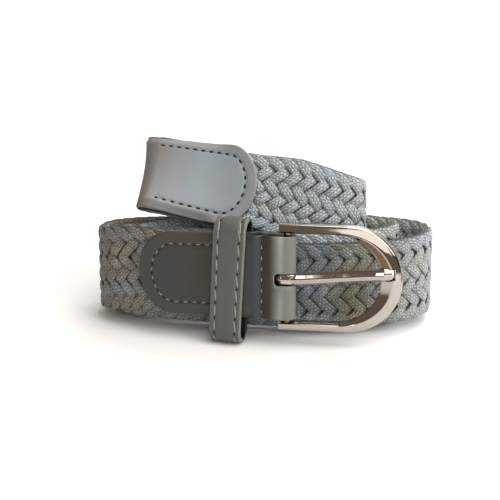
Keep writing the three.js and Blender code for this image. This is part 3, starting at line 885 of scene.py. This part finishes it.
# %% A folded strip of leather
FROM_EDGE = np.array([
    0, .05, .16, .32, .55, .9, 1.5, 2.2, 2.9, 3.5, 3.9, 4.2, 4.5, 4.75, 5, 5.25, 5.5, 5.8,
    6.2, 6.8, 7.6, 8.8, 10.2, 11.8, 13.4, 15, 16.3, HALF_WIDTH,
])
ROW_STEP, FOLD_ROWS = 0.8, 25
SEAM_PRESS, SEAM_SPREAD = 0.3, 0.75  # how deep and how wide a thread presses the leather in
EDGE_ROUNDING, EDGE_SHARE = 0.6, 0.14  # and how much of the thickness is left at the very rim
FLARE_REACH, FLARE_BELOW = 8, 0.3  # how far from the fold a flare reaches, and its share low down
BOW_REACH, BOW_SLANT, BOW_DEPTH = 10, 1.1, 1.5  # a flared fold's line bows, out at the upper corner


def strip_rows(length):
    """The strip's rows as distance from the fold, half width, outward direction and middle,
    the last two as (along the leaf, out of the strap)."""
    middle = LEAF_HALF_GAP + LEATHER / 2
    angle = np.radians(np.concatenate([[0.5], np.linspace(2, 90, 44)]))
    ends = length - ROUND_END * (1 - np.cos(angle))
    straight = np.arange(ends[-1] - ROW_STEP, ROW_STEP / 2, -ROW_STEP)
    leaf = [*zip(ends, HALF_WIDTH * np.sin(angle)), *((s, HALF_WIDTH) for s in straight)]
    front = [(s, half, 0, 1, s, middle) for s, half in leaf]
    back = [(s, half, 0, -1, s, -middle) for s, half in leaf[::-1]]
    fold = [
        (0, HALF_WIDTH, -math.sin(t), math.cos(t), -middle * math.sin(t), middle * math.cos(t))
        for t in np.radians(np.linspace(0, 180, FOLD_ROWS))]
    return np.array(front + fold + back)


def finished(piece, material):
    """Gives a piece its one material and faces that point outwards."""
    piece.data.materials.clear()
    piece.data.materials.append(material)
    work = bmesh.new()
    work.from_mesh(piece.data)
    bmesh.ops.remove_doubles(work, verts=work.verts, dist=1e-7)
    bmesh.ops.recalc_face_normals(work, faces=work.faces)
    work.to_mesh(piece.data)
    work.free()
    return piece


def folded_strip(name, material, fold, towards, length, seams, shape, flare=0.0):
    """A strip folded over at fold along the strap, pressed in along (s, v) seams.

    shape(s, v) moves both leaves out; flare draws the upper corner of its fold out, in mm."""
    flat_s, half, out_s, out_w, base_s, base_w = strip_rows(length).T[:, :, None]
    inside = 1 - FROM_EDGE / HALF_WIDTH
    across = np.concatenate([inside, -inside[-2::-1]])
    v = half * across
    near_fold = np.clip(1 - base_s / FLARE_REACH, 0, 2) ** 2
    v += flare * near_fold * np.where(across > 0, across, FLARE_BELOW * across)
    flat_s = np.broadcast_to(flat_s, v.shape)
    points = np.stack([flat_s.ravel(), v.ravel()], axis=1)
    edge = distance_to(points, u_line(length, 0, 0)).reshape(v.shape)
    edge = np.where(flat_s <= 0, HALF_WIDTH - abs(v), edge)
    half_thick = LEATHER / 2 * (rounding(edge, EDGE_ROUNDING) * (1 - EDGE_SHARE) + EDGE_SHARE)
    seam_distances = [distance_to(points, line).reshape(v.shape) for line in seams]
    pressed = sum(SEAM_PRESS * np.exp(-((d / SEAM_SPREAD) ** 2)) for d in seam_distances) * (flat_s > 0)
    high = v / HALF_WIDTH
    bow = 1 - BOW_SLANT * high - BOW_DEPTH * high ** 2
    pull = flare * bow * np.clip(1 - base_s / BOW_REACH, 0, 1) ** 2
    moved = shape(flat_s, v)

    def face(off):
        """One face of the leather, off from its middle."""
        s = fold + towards * (base_s + out_s * off + pull)
        return place(s, v, base_w + out_w * (off + moved))

    outer, inner = face(half_thick - pressed), face(-half_thick)
    around = np.concatenate([outer, inner[:, ::-1]], axis=1)
    tall, ring = around.shape[:2]
    faces = ring_faces(tall, ring)
    for first, turned in ((0, True), ((tall - 1) * ring, False)):
        for k in range(ring // 2 - 1):
            quad = (first + k, first + k + 1, first + ring - 2 - k, first + ring - 1 - k)
            faces.append(quad[::-1] if turned else quad)
    if towards < 0:
        faces = [f[::-1] for f in faces]
    made = mesh_object(name, around.reshape(-1, 3), faces)
    note(made, "rim", np.concatenate([edge, edge[:, ::-1]], axis=1))
    note(made, "along", np.concatenate([flat_s, flat_s[:, ::-1]], axis=1))
    return finished(made, material)


tab_seams = [tab_u[:len(tab_u) // 2], tab_u[len(tab_u) // 2:], cross]
buckle_tab = folded_strip("buckle_tab_leather", tab_leather, TAB_FOLD, 1, TAB_LENGTH, tab_seams, tab_shape)
tip_tab = folded_strip("tip_leather_strip", tip_leather, TIP_FOLD, -1, TIP_LENGTH, [tip_u], tip_shape, 0.8)
print("strips:", len(buckle_tab.data.polygons), "and", len(tip_tab.data.polygons), "faces")

# %% [markdown]
# The prong comes out through a slot in the fold of the buckle tab. A boolean cut with a
# block that has a round end is the plain way to make one. The slot is long enough for
# the prong to lift and the frame to swing without touching the leather.

# %% The prong's slot
SLOT_END, SLOT_HALF, SLOT_MIDDLE, SLOT_ROUND = 5.0, 2.68, -0.5, 1.35
PAST_FOLD, THROUGH = -8, 7  # the block starts outside the fold and goes through both leaves


def cut_with(piece, tool, operation="DIFFERENCE"):
    """Applies a boolean and removes the tool."""
    modifier = piece.modifiers.new("cut", "BOOLEAN")
    modifier.operation, modifier.object, modifier.solver = operation, tool, "EXACT"
    piece.data = plain_mesh(piece)
    bpy.data.objects.remove(tool)


def block(outline, near, far):
    """A closed block from an (s, v) outline between two depths of the strap."""
    n = len(outline)
    points = np.concatenate([place(outline[:, 0], outline[:, 1], w) for w in (near, far)])
    faces = [tuple(range(n)), tuple(range(2 * n - 1, n - 1, -1))]
    faces += [(k, n + k, n + (k + 1) % n, (k + 1) % n) for k in range(n)]
    return finished(mesh_object("block", points, faces), tab_leather)


bend = np.radians(np.linspace(-90, 90, 13))
slot_s = SLOT_END - SLOT_ROUND + SLOT_ROUND * np.cos(bend)
slot_v = (SLOT_HALF - SLOT_ROUND) * np.sign(np.sin(bend)) + SLOT_ROUND * np.sin(bend) + SLOT_MIDDLE
slot = np.stack([
    [PAST_FOLD, *slot_s, PAST_FOLD],
    [SLOT_MIDDLE - SLOT_HALF, *slot_v, SLOT_MIDDLE + SLOT_HALF],
], axis=1)
cut_with(buckle_tab, block(slot, -THROUGH, THROUGH))
settle(buckle_tab, "belt", "tab_leather", "buckle_tab")
settle(tip_tab, "belt", "tip_leather", "tip_tab")

# %% [markdown]
# ## The loose loop
#
# The loop is a narrow strip bent into a long ring round the tab. Its section is a rounded
# rectangle that is pressed in along two seams and swells a little between them, and the
# ring's path is two half circles joined by straights.

# %% The loop's sizes and section
LOOP_AT, LOOP_HALF, LOOP_WALL = 23.6, 6.7, 1.8  # its middle on the tab, half width, thickness
LOOP_ABOVE, LOOP_BELOW, LOOP_LOOSE = 6.4, 11.6, 0.35  # how far it stands past the strap
LOOP_SLANT = math.tan(math.radians(3))  # its upper end sits nearer to the buckle
LOOP_SEAM, LOOP_PRESS, LOOP_SPREAD = 4.4, 0.28, 0.6  # a seam from the middle, its depth and width
LOOP_ROUNDING, LOOP_CROWN = 0.8, 0.2
RIM_OUTSIDE, RIM_INSIDE = 0.3, 0.6  # how much of its half thickness is left at the rims
LOOP_PLAIN = 5.5  # the even columns of its face go this far out

half_wall = LOOP_WALL / 2
loop_radius = LEAF_HALF_GAP + LEATHER + LOOP_LOOSE + half_wall
loop_top = HALF_WIDTH + LOOP_ABOVE - half_wall - loop_radius
loop_bottom = -HALF_WIDTH - LOOP_BELOW + half_wall + loop_radius

near_edge = np.array([0, 0.05, 0.15, 0.3, 0.5, 0.75, 1.0])
plain = np.linspace(-LOOP_PLAIN, LOOP_PLAIN, 33)
out_face = np.concatenate([near_edge - LOOP_HALF, plain, LOOP_HALF - near_edge[::-1]])
to_edge = LOOP_HALF - abs(out_face)
rounded = rounding(to_edge, LOOP_ROUNDING)
pressed = sum(
    LOOP_PRESS * np.exp(-(((out_face - side) / LOOP_SPREAD) ** 2)) for side in (-LOOP_SEAM, LOOP_SEAM))
crown = LOOP_CROWN * np.clip(1 - (out_face / LOOP_SEAM) ** 2, 0, 1)
section_x = np.concatenate([out_face, out_face[::-1]])
section_off = np.concatenate([
    half_wall * (RIM_OUTSIDE + (1 - RIM_OUTSIDE) * rounded) - pressed + crown,
    -half_wall * (RIM_INSIDE + (1 - RIM_INSIDE) * rounded[::-1]),
])
print(f"the loop is {loop_top - loop_bottom + 2 * loop_radius + LOOP_WALL:.1f} mm tall")

# %% The loop
def loop_path():
    """Centre line of the ring as rows of v, w and its outward direction."""
    bend = [(math.sin(a), math.cos(a)) for a in np.radians(np.linspace(0, 180, 29))]
    down = np.linspace(loop_top, loop_bottom, 40)[1:-1]
    up = np.linspace(loop_bottom, loop_top, 40)[1:-1]
    return np.array([
        *((loop_top + loop_radius * s, loop_radius * c, s, c) for s, c in bend),
        *((v, -loop_radius, 0, -1) for v in down),
        *((loop_bottom - loop_radius * s, -loop_radius * c, -s, -c) for s, c in bend),
        *((v, loop_radius, 0, 1) for v in up),
    ])


ring = loop_path()
ring_v, ring_w, out_v, out_w = ring.T[:, :, None]
v = ring_v + out_v * section_off
points = place(LOOP_AT + section_x - v * LOOP_SLANT, v, ring_w + out_w * section_off)
tall, wide = points.shape[:2]
keeper = mesh_object("keeper_loop_leather", points.reshape(-1, 3), ring_faces(tall, wide, closed=True))
NO_RIM = 9.0  # the pale cut edge with its painted highlight shows on the front wall only
note(keeper, "rim", np.where(ring_w > 0, np.concatenate([to_edge, to_edge[::-1]]), NO_RIM))
# 1.5 on the outer face, 0 on the hidden one, which gets the painted shade
note(keeper, "along", np.tile(np.repeat([1.5, 0.0], len(out_face)), tall))
settle(finished(keeper, loop_leather), "belt", "tab_leather", "keeper_loop")

# %% [markdown]
# ## Stitches
#
# A seam repeats one small thing at even steps along a line, which is what Geometry Nodes
# do best. The tree takes a line with an outward direction at each point, walks it at
# half the stitch length, and puts a small rounded body on every second point. Run once
# it lays the threads, run again with the other half of the points it makes the holes.
# No hand or machine sews evenly, so a random number for each stitch turns and stretches it
# a little.

# %% The seam's tree
seam_tree, given, seam_inputs = new_tree("seam", [
    ("Stitch length", "NodeSocketFloat", 3.7 * MM),
    ("Start on", "NodeSocketInt", 0),
    ("Length", "NodeSocketFloat", 2.5 * MM),
    ("Width", "NodeSocketFloat", 0.6 * MM),
    ("Height", "NodeSocketFloat", 0.5 * MM),
    ("Raise", "NodeSocketFloat", 0.0),
    ("Slant", "NodeSocketFloat", 0.0),
    ("Unevenness", "NodeSocketFloat", 0.1),
    ("Stitch material", "NodeSocketMaterial", None),
])
SEED = 5
seam = given["Geometry"]
walk = seam.node("GeometryNodeMeshToCurve", {"Mesh": seam})
half_stitch = given["Stitch length"] * 0.5
walk = seam.node("GeometryNodeResampleCurve", {"Curve": walk, "Length": half_stitch}, mode="LENGTH")
walk = store(walk, "run", seam.node("GeometryNodeInputTangent"), "FLOAT_VECTOR")
facing = stored(seam, "outward", "FLOAT_VECTOR").vector("NORMALIZE")
lift = facing.vector("SCALE", scale=given["Raise"])
walk = seam.node("GeometryNodeSetPosition", {"Geometry": walk, "Offset": lift})
number = seam.node("GeometryNodeCurveOfPoint").other("Index in Curve")
chosen = number.maths("COMPARE", (number + given["Start on"]) % 2, 0.0, 0.1)
spread = {2: -1.0, 3: 1.0, "Seed": SEED}
wobble = seam.node("FunctionNodeRandomValue", spread, output=1, data_type="FLOAT") * given["Unevenness"]
run_along = stored(seam, "run", "FLOAT_VECTOR")
sideways = facing.vector("CROSS_PRODUCT", run_along)
turned = run_along.vector("ADD", sideways.vector("SCALE", scale=given["Slant"] + wobble))
axes = {"Primary Axis": turned, "Secondary Axis": facing}
stitches = seam.node("GeometryNodeInstanceOnPoints", {
    "Points": walk,
    "Selection": chosen,
    "Instance": seam.node("GeometryNodeMeshUVSphere", {"Segments": 10, "Rings": 7, "Radius": 0.5}),
    "Rotation": seam.node("FunctionNodeAxesToRotation", axes, primary_axis="X", secondary_axis="Z"),
    "Scale": seam.node("ShaderNodeCombineXYZ", {
        "X": given["Length"] * (wobble + 1), "Y": given["Width"], "Z": given["Height"]}),
})
end_tree(stitches, given["Stitch material"])

# %% [markdown]
# Four seams hold the belt's leather: one round each end, one across the tab to hold the
# buckle in, and two lines along the loop. Each one goes through both leaves, so it is
# sewn on the front and on the back.

# %% Sew
def seam_line(lines):
    """A mesh of lines in the room from (s, v, w) rows, with the outward direction at each point."""
    points, edges, facing = [], [], []
    for rows, out in lines:
        first = len(points)
        here, there = place(*rows.T), place(*(rows + out).T)
        points.extend(here)
        facing.extend((there - here) / MM)
        edges += [(first + k, first + k + 1) for k in range(len(rows) - 1)]
    made = mesh_object("seam_line", points, [], edges)
    note(made, "outward", facing, "FLOAT_VECTOR", "vector")
    return made


def sew(name, lines, pitch, thread, hole, slant=0.0):
    """Threads and holes along lines; thread and hole are (length, width, height, raise) in mm."""
    line = seam_line(lines)
    for suffix, start, sizes, material, tilt in (
            ("threads", 1, thread, thread_material, slant), ("holes", 0, hole, hole_shade, 0.0)):
        values = {seam_inputs["Stitch length"]: pitch * MM, seam_inputs["Start on"]: start}
        for label, size in zip(("Length", "Width", "Height", "Raise"), sizes):
            values[seam_inputs[label]] = size * MM
        values |= {seam_inputs["Slant"]: tilt, seam_inputs["Stitch material"]: material}
        settle(run_tree(f"{name}_{suffix}", line, seam_tree, values), "belt", "braid_cord")
    bpy.data.objects.remove(line)


def on_both_leaves(line, fold, towards, shape):
    """A seam on both leaves of a folded strip, as rows with their outward directions."""
    height = LEAF_HALF_GAP + LEATHER - SEAM_PRESS + shape(line[:, 0], line[:, 1])
    return [
        (np.stack([fold + towards * line[:, 0], line[:, 1], face * height], axis=1),
         np.tile([0.0, 0.0, face], (len(line), 1)))
        for face in (1, -1)]


def on_loop(side):
    """One of the loop's two seams, all the way round it."""
    v, w, out_v, out_w = np.vstack([ring, ring[:1]]).T
    off = half_wall - LOOP_PRESS
    v = v + out_v * off
    rows = np.stack([LOOP_AT + side - v * LOOP_SLANT, v, w + out_w * off], axis=1)
    return rows, np.stack([np.zeros(len(rows)), out_v, out_w], axis=1)


sew("tab_seam", on_both_leaves(tab_u, TAB_FOLD, 1, tab_shape),
    3.8, (1.7, 0.42, 0.32, 0.03), (2.0, 1.0, 0.3, 0.04))
sew("cross_seam", on_both_leaves(cross, TAB_FOLD, 1, tab_shape),
    4.3, (1.7, 0.5, 0.35, 0.05), (2.6, 1.15, 0.35, 0.05), 0.12)
sew("tip_seam", on_both_leaves(tip_u, TIP_FOLD, -1, tip_shape),
    3.75, (1.8, 0.55, 0.4, 0.04), (2.1, 1.2, 0.3, 0.04))
sew("loop_seam", [on_loop(-LOOP_SEAM), on_loop(LOOP_SEAM)],
    6.3, (4.9, 0.7, 0.5, 0.12), (1.3, 1.05, 0.3, 0.04), 0.1)

# %% [markdown]
# ## The buckle
#
# The frame is a flat horseshoe with a ridge along its front, square-cut at its two ends,
# and a bar across them. It is lofted: the same section is set at many places along the
# inner and outer outlines. The metal's own frame has x out from the bar, y away from the
# viewer and z up the bar.

# %% From the buckle's frame to the room
buckle_turn = math.atan2(headings[0][1], headings[0][0]) - math.pi
cosine, sine = math.cos(buckle_turn), math.sin(buckle_turn)
BUCKLE_TURN = np.array([[cosine, -sine, 0], [sine, cosine, 0], [0, 0, 1]])


def loft(name, rings):
    """A closed mesh through rings of points, in the buckle's frame, capped at both ends."""
    rings = np.asarray(rings)
    tall, wide = rings.shape[:2]
    faces = ring_faces(tall, wide)
    faces += [tuple(range(wide))[::-1], tuple((tall - 1) * wide + k for k in range(wide))]
    points = to_room(rings @ BUCKLE_TURN.T + BAR)
    return finished(mesh_object(name, points.reshape(-1, 3), faces), nickel)


print(f"the buckle is turned {math.degrees(buckle_turn):.1f} degrees")

# %% The frame
OUTER_RADIUS, OUTER_CENTRE = 22.4, 24.1
INNER_RADIUS, INNER_CENTRE = 18.4, 19.5
ARM_START = -3.4
ARM_RIDGE, END_RIDGE = 0.26, 0.56  # where the ridge runs, as a share of the way across
BACK = 1.6
# The section as (share of the way across, depth): first up to the ridge, then past it.
TO_RIDGE = [
    (0, BACK), (0, -0.75), (0.04, -0.98), (0.13, -1.19), (0.25, -1.35), (0.5, -1.72),
    (0.75, -2.1), (0.9, -2.31), (1, -2.4),
]
FROM_RIDGE = [
    (0.12, -2.34), (0.3, -2.14), (0.55, -1.82), (0.78, -1.5), (0.88, -1.24), (0.95, -0.86),
    (1, -0.25), (1, BACK),
]


def frame_outlines():
    """(inner point, outer point, place of the ridge) from one arm's end to the other's."""
    made = []
    for t in np.linspace(0, 0.96, 14):
        inner_x = ARM_START + (INNER_CENTRE - ARM_START) * t
        outer_x = ARM_START + (OUTER_CENTRE - ARM_START) * t
        made.append(((inner_x, INNER_RADIUS), (outer_x, OUTER_RADIUS), ARM_RIDGE))
    for angle in np.radians(np.linspace(90, 0, 61)):
        c, s = math.cos(angle), math.sin(angle)
        inner = (INNER_CENTRE + INNER_RADIUS * c, INNER_RADIUS * s)
        outer = (OUTER_CENTRE + OUTER_RADIUS * c, OUTER_RADIUS * s)
        made.append((inner, outer, ARM_RIDGE + (END_RIDGE - ARM_RIDGE) * c ** 2))
    return made + [((a[0], -a[1]), (b[0], -b[1]), ridge) for a, b, ridge in made[-2::-1]]


def across_frame(inner, outer, share):
    return inner[0] + (outer[0] - inner[0]) * share, inner[1] + (outer[1] - inner[1]) * share


outlines = frame_outlines()
rings = []
for inner, outer, ridge in outlines:
    section = [(q * ridge, y) for q, y in TO_RIDGE] + [(ridge + (1 - ridge) * q, y) for q, y in FROM_RIDGE]
    spots = [(across_frame(inner, outer, share), y) for share, y in section]
    rings.append([(x, y, z) for (x, z), y in spots])
buckle = loft("buckle_frame_metal", rings)
print("frame lofted through", len(rings), "sections")

# %% [markdown]
# The prong is a cast pin with a rounded root, two flat sides in front that meet in a soft
# crest, and a point that is a little fuller than the shaft. Its section is a circle
# pulled towards a square by a power, and it is lofted through a few sizes. It leans up
# a little from the middle of the bar to the middle of the frame.

# %% The prong's shaft
PRONG_START, PRONG_DROP, PRONG_LIFT = 2.9, 0.5, math.tan(math.radians(5.2))
SHAFT = np.array([
    # x, in front of the bar's axis, half width, half thickness
    (0, 1.55, 2.5, 1.5),
    (9, 1.5, 2.5, 1.55),
    (22, 1.5, 2.5, 1.6),
    (33, 1.75, 2.4, 1.6),
    (36.2, 1.8, 2.37, 1.6),
    (38.8, 1.85, 2.66, 1.84),  # the point
    (39.2, 1.85, 2.68, 1.85),
    (42.2, 1.84, 2.36, 1.6),
    (42.8, 1.82, 2.0, 1.36),
    (43.1, 1.8, 1.5, 1.04),
    (43.2, 1.8, 0.9, 0.6),
])
SHAFT_SIDES = 40
CREST_POWER, BACK_POWER = 1.65, 0.86  # 1 is round, over 1 gives flats and a crest, under 1 is boxy
ROOT_LEFT, ROOT_ROUND = -4.55, 2.3  # the root's rounded end, left of the bar


def shaft_rings(rows, clearance=0.0):
    """Rings of a prong through rows like SHAFT's, with room all round it."""
    angle = np.radians(np.arange(SHAFT_SIDES) * 360 / SHAFT_SIDES)
    power = np.where(np.cos(angle) < 0, CREST_POWER, BACK_POWER)
    deep = np.sign(np.cos(angle)) * abs(np.cos(angle)) ** power
    high = np.sign(np.sin(angle)) * abs(np.sin(angle)) ** power
    made = []
    for x, front, half, thick in rows:
        y = -front + (thick + clearance) * deep
        z = (max(x, PRONG_START) - PRONG_START) * PRONG_LIFT - PRONG_DROP + (half + clearance) * high
        made.append(np.stack([np.full(SHAFT_SIDES, x), y, z], axis=1))
    return made


rows = []
_, front, half, thick = SHAFT[0]
for angle in np.radians([8, 16, 26, 36, 48, 60, 74, 90]):  # the root's round end
    x = ROOT_LEFT + ROOT_ROUND * (1 - math.cos(angle))
    rows.append((x, front, half * math.sin(angle), thick * math.sin(angle) ** 0.8))
shank, point = np.linspace(PRONG_START, 36.2, 34), np.linspace(36.7, 42.2, 23)
for x in (0, 1.5, *shank, *point, 42.5, 42.8, 43.0, 43.1, 43.2):  # closer together at the very end
    rows.append((x, *(np.interp(x, SHAFT[:, 0], SHAFT[:, k]) for k in (1, 2, 3))))
shaft = loft("prong_shaft", shaft_rings(rows))
print("prong lofted through", len(rows), "sections")

# %% [markdown]
# A soft block behind the root is the prong's eye: it is joined on before the hole for the
# bar is cut. The bar is then joined to the frame, and the notch that the point rests in
# is cut with a slightly larger prong, so that the two always fit. Below the point the
# notch is filed a little wider, as a shallow dish.

# %% Eye, bar, notch and dish
EYE_LEFT, EYE_RIGHT, EYE_THICK, EYE_HALF, EYE_SOFTNESS = 4.4, 3.1, 3.0, 2.25, 2.4
EYE_STEPS = [(0.6, 0), (0.78, 0.05), (0.93, 0.2), (1, 0.5)]  # share of its half height, inset
HOLE_RADIUS, BAR_RADIUS, BAR_HALF = 1.8, 1.6, 19.4
NOTCH_FROM, NOTCH_TO, NOTCH_ROOM = 33.0, 43.6, 0.35
NOTCH_SIZE = (1.85, 2.48, 1.72)  # in front of the bar's axis, half width, half thickness
DISH_AT, DISH_SIZE = (39.4, -2.55, 0.75), (2.5, 0.75, 2.9)

around = np.radians(np.arange(64) * 360 / 64 + 2)


def soft(t):
    return np.sign(t) * abs(t) ** (2 / EYE_SOFTNESS)


def rod(name, radius, half, angles):
    """A round rod along the bar's axis."""
    circle = [(radius * math.cos(a), radius * math.sin(a)) for a in angles]
    return loft(name, [[(x, y, z) for x, y in circle] for z in (-half, half)])


eye_rings = []
for share, inset in [(-share, inset) for share, inset in EYE_STEPS[::-1]] + EYE_STEPS:
    x = np.where(np.cos(around) < 0, EYE_LEFT - inset, EYE_RIGHT - inset) * soft(np.cos(around))
    y = (EYE_THICK - inset) * soft(np.sin(around))
    eye_rings.append(np.stack([x, y, np.full(len(x), share * EYE_HALF - PRONG_DROP)], axis=1))
cut_with(shaft, loft("prong_eye", eye_rings), "UNION")
cut_with(shaft, rod("eye_hole", HOLE_RADIUS, 6, around))
cut_with(buckle, rod("bar", BAR_RADIUS, BAR_HALF, around[::2]), "UNION")
notch = shaft_rings([(x, *NOTCH_SIZE) for x in (NOTCH_FROM, NOTCH_TO)], NOTCH_ROOM)
cut_with(buckle, loft("notch", notch))
dish = []
for b in np.radians(np.linspace(176, 4, 19)):
    unit = [(math.sin(b) * math.cos(a), math.sin(b) * math.sin(a), math.cos(b)) for a in around[::2]]
    dish.append([[at + size * u for at, size, u in zip(DISH_AT, DISH_SIZE, spot)] for spot in unit])
cut_with(buckle, loft("dish", dish))
shaft.name = shaft.data.name = "prong_metal"
for piece, angle in ((buckle, 32), (shaft, 40)):  # smooth, with edges sharper than this kept crisp
    piece.data.polygons.foreach_set("use_smooth", [True] * len(piece.data.polygons))
    piece.data.set_sharp_from_angle(angle=math.radians(angle))
print("frame and prong have", len(buckle.data.polygons), "and", len(shaft.data.polygons), "faces")

# %% [markdown]
# The metal looks darkest on the bar behind the leather, on the inner bevel of the round
# end, and along the outer rim above the prong. The bar lies in shade there, and what the
# real one mirrored on the bevel and rim isn't known, so the plating itself is made darker
# in these places: painted shade on the bar and a painted dark reflection on the bevel and
# rim. A number on each point marks them for the material. Each point of the mesh looks up
# the nearest of a set of samples spread over the frame's plan.

# %% Mark the painted shade and dark reflection
LOWER_SHARE, RIM_SHARE = 0.1, 0.85  # how strong the mark is below the prong, and on the rim
NEAR_BAR, BAR_REACH = 0.05, 19  # how close to the bar's surface and how far along it counts
BEVEL_STARTS, BEVEL_ENDS = (0.05, 0.2), (0.9, 1.0)  # soft steps, as shares of the inner slope
RIM_STARTS, ROUND_STARTS = (0.88, 0.95), (0.02, 0.35)  # of the way across, and of the round end
samples, marks = [], []
for inner, outer, ridge in outlines:
    upper = inner[1] > 0
    roundness = eased((ridge - ARM_RIDGE) / (END_RIDGE - ARM_RIDGE), *ROUND_STARTS)
    for share in np.linspace(0, 1, 41):
        # The bevel and rim marks make a painted dark reflection.
        bevel = eased(share / ridge, *BEVEL_STARTS) * (1 - eased(share / ridge, *BEVEL_ENDS))
        rim = RIM_SHARE * eased(share, *RIM_STARTS) * upper
        samples.append(across_frame(inner, outer, share))
        marks.append((1.0 if upper else LOWER_SHARE) * roundness * max(bevel, rim))
samples = np.array(samples)
in_room = np.empty(len(buckle.data.vertices) * 3)
buckle.data.vertices.foreach_get("co", in_room)
in_frame = ((in_room.reshape(-1, 3) / MM - SHIFT) @ LEAN_BACK - BAR) @ BUCKLE_TURN
on_points = []
for x, y, z in in_frame:
    nearest = np.argmin((samples[:, 0] - x) ** 2 + (samples[:, 1] - z) ** 2)
    # The bar behind the leather gets the full mark, which is painted shade.
    on_bar = abs(math.hypot(x, y) - BAR_RADIUS) < NEAR_BAR and abs(z) < BAR_REACH
    on_points.append(1.0 if on_bar else marks[nearest])
note(buckle, "bevel", on_points)
print("marked", sum(m > 0.5 for m in on_points), "of", len(on_points), "points")
for piece, body, node in ((buckle, "frame", "buckle_frame"), (shaft, "prong", "prong")):
    piece.data.materials.clear()
    piece.data.materials.append(nickel)
    settle(piece, body, "nickel", node)

# %% [markdown]
# ## Floor and light
#
# A pale floor runs up behind the belt without a corner, as photographers' paper does.
# Five soft panels light it, and each is placed for what the metal mirrors as much as for
# the light it gives:
#
# - above: the main light, large and soft, over the right half
# - left: small and high, it makes the white streak on the prong
# - right: brightens the right bends and the round end of the frame
# - front: a weak fill, which the front of the lower arm mirrors
# - backdrop: whitens the paper behind the belt, right of the middle only
#
# The world is a mild warm brown. The panels leave it to be seen in the rest of the
# metal, which is why nickel looks brown there.

# %% Floor
FLOOR_FRONT, FLOOR_BACK, SWEEP, FLOOR_TOP, FLOOR_SIDE = -2.5, 0.9, 0.5, 2.5, 3
profile = [(FLOOR_FRONT, 0), (FLOOR_BACK, 0)]
for a in np.radians(np.linspace(0, 90, 16))[1:]:
    profile.append((FLOOR_BACK + SWEEP * math.sin(a), SWEEP - SWEEP * math.cos(a)))
profile.append((FLOOR_BACK + SWEEP, FLOOR_TOP))
points = [(x, y, z) for y, z in profile for x in (-FLOOR_SIDE, FLOOR_SIDE)]
faces = [(2 * i, 2 * i + 1, 2 * i + 3, 2 * i + 2) for i in range(len(profile) - 1)]
floor = mesh_object("floor", points, faces)
paper, shader, where = new_material("paper", 0.9)
feed(shader, "Base Color", mix_colours(noise(where, 3), (0.84, 0.84, 0.84), (0.88, 0.88, 0.88)))
floor.data.materials.append(paper)
print("floor is", len(floor.data.polygons), "faces")


# %% Lights and world
def softbox(name, at, aim, size, watts, colour=(1, 1, 1), turn=0.0):
    """A soft rectangular panel at one place, aimed at another, that the camera doesn't see."""
    data = bpy.data.lights.new(name, "AREA")
    data.shape, data.size, data.size_y = "RECTANGLE", *size
    data.energy, data.color = watts, colour
    light = bpy.data.objects.new(name, data)
    light.location = at
    light.visible_camera = False
    light.rotation_euler = (Vector(aim) - Vector(at)).to_track_quat("-Z", "Y").to_euler()
    light.rotation_euler.z += math.radians(turn)
    bpy.context.collection.objects.link(light)


softbox("above", (0.22, -0.2, 0.75), (0.22, -0.2, 0), (0.58, 0.7), 4.2)
softbox("left", (-0.327, -0.587, 0.7), (-0.327, -0.587, 0), (0.17, 0.4), 0.9, turn=-12.2)
softbox("right", (0.62, -0.36, 0.53), (0, 0, 0.03), (0.5, 0.5), 4.4, (1, 0.99, 0.97))
softbox("front", (0.125, -0.58, 0.34), (0.125, 0, 0.03), (0.45, 0.34), 0.9, (1, 0.98, 0.95))
softbox("backdrop", (0.75, 0.6, 1.3), (0.75, 1.3, 0.3), (1.46, 0.5), 24)
world = bpy.data.worlds.new("studio")
world.use_nodes = True
world.node_tree.nodes["Background"].inputs["Color"].default_value = (0.24, 0.185, 0.145, 1)
bpy.context.scene.world = world
bpy.context.scene.view_settings.view_transform = "Standard"
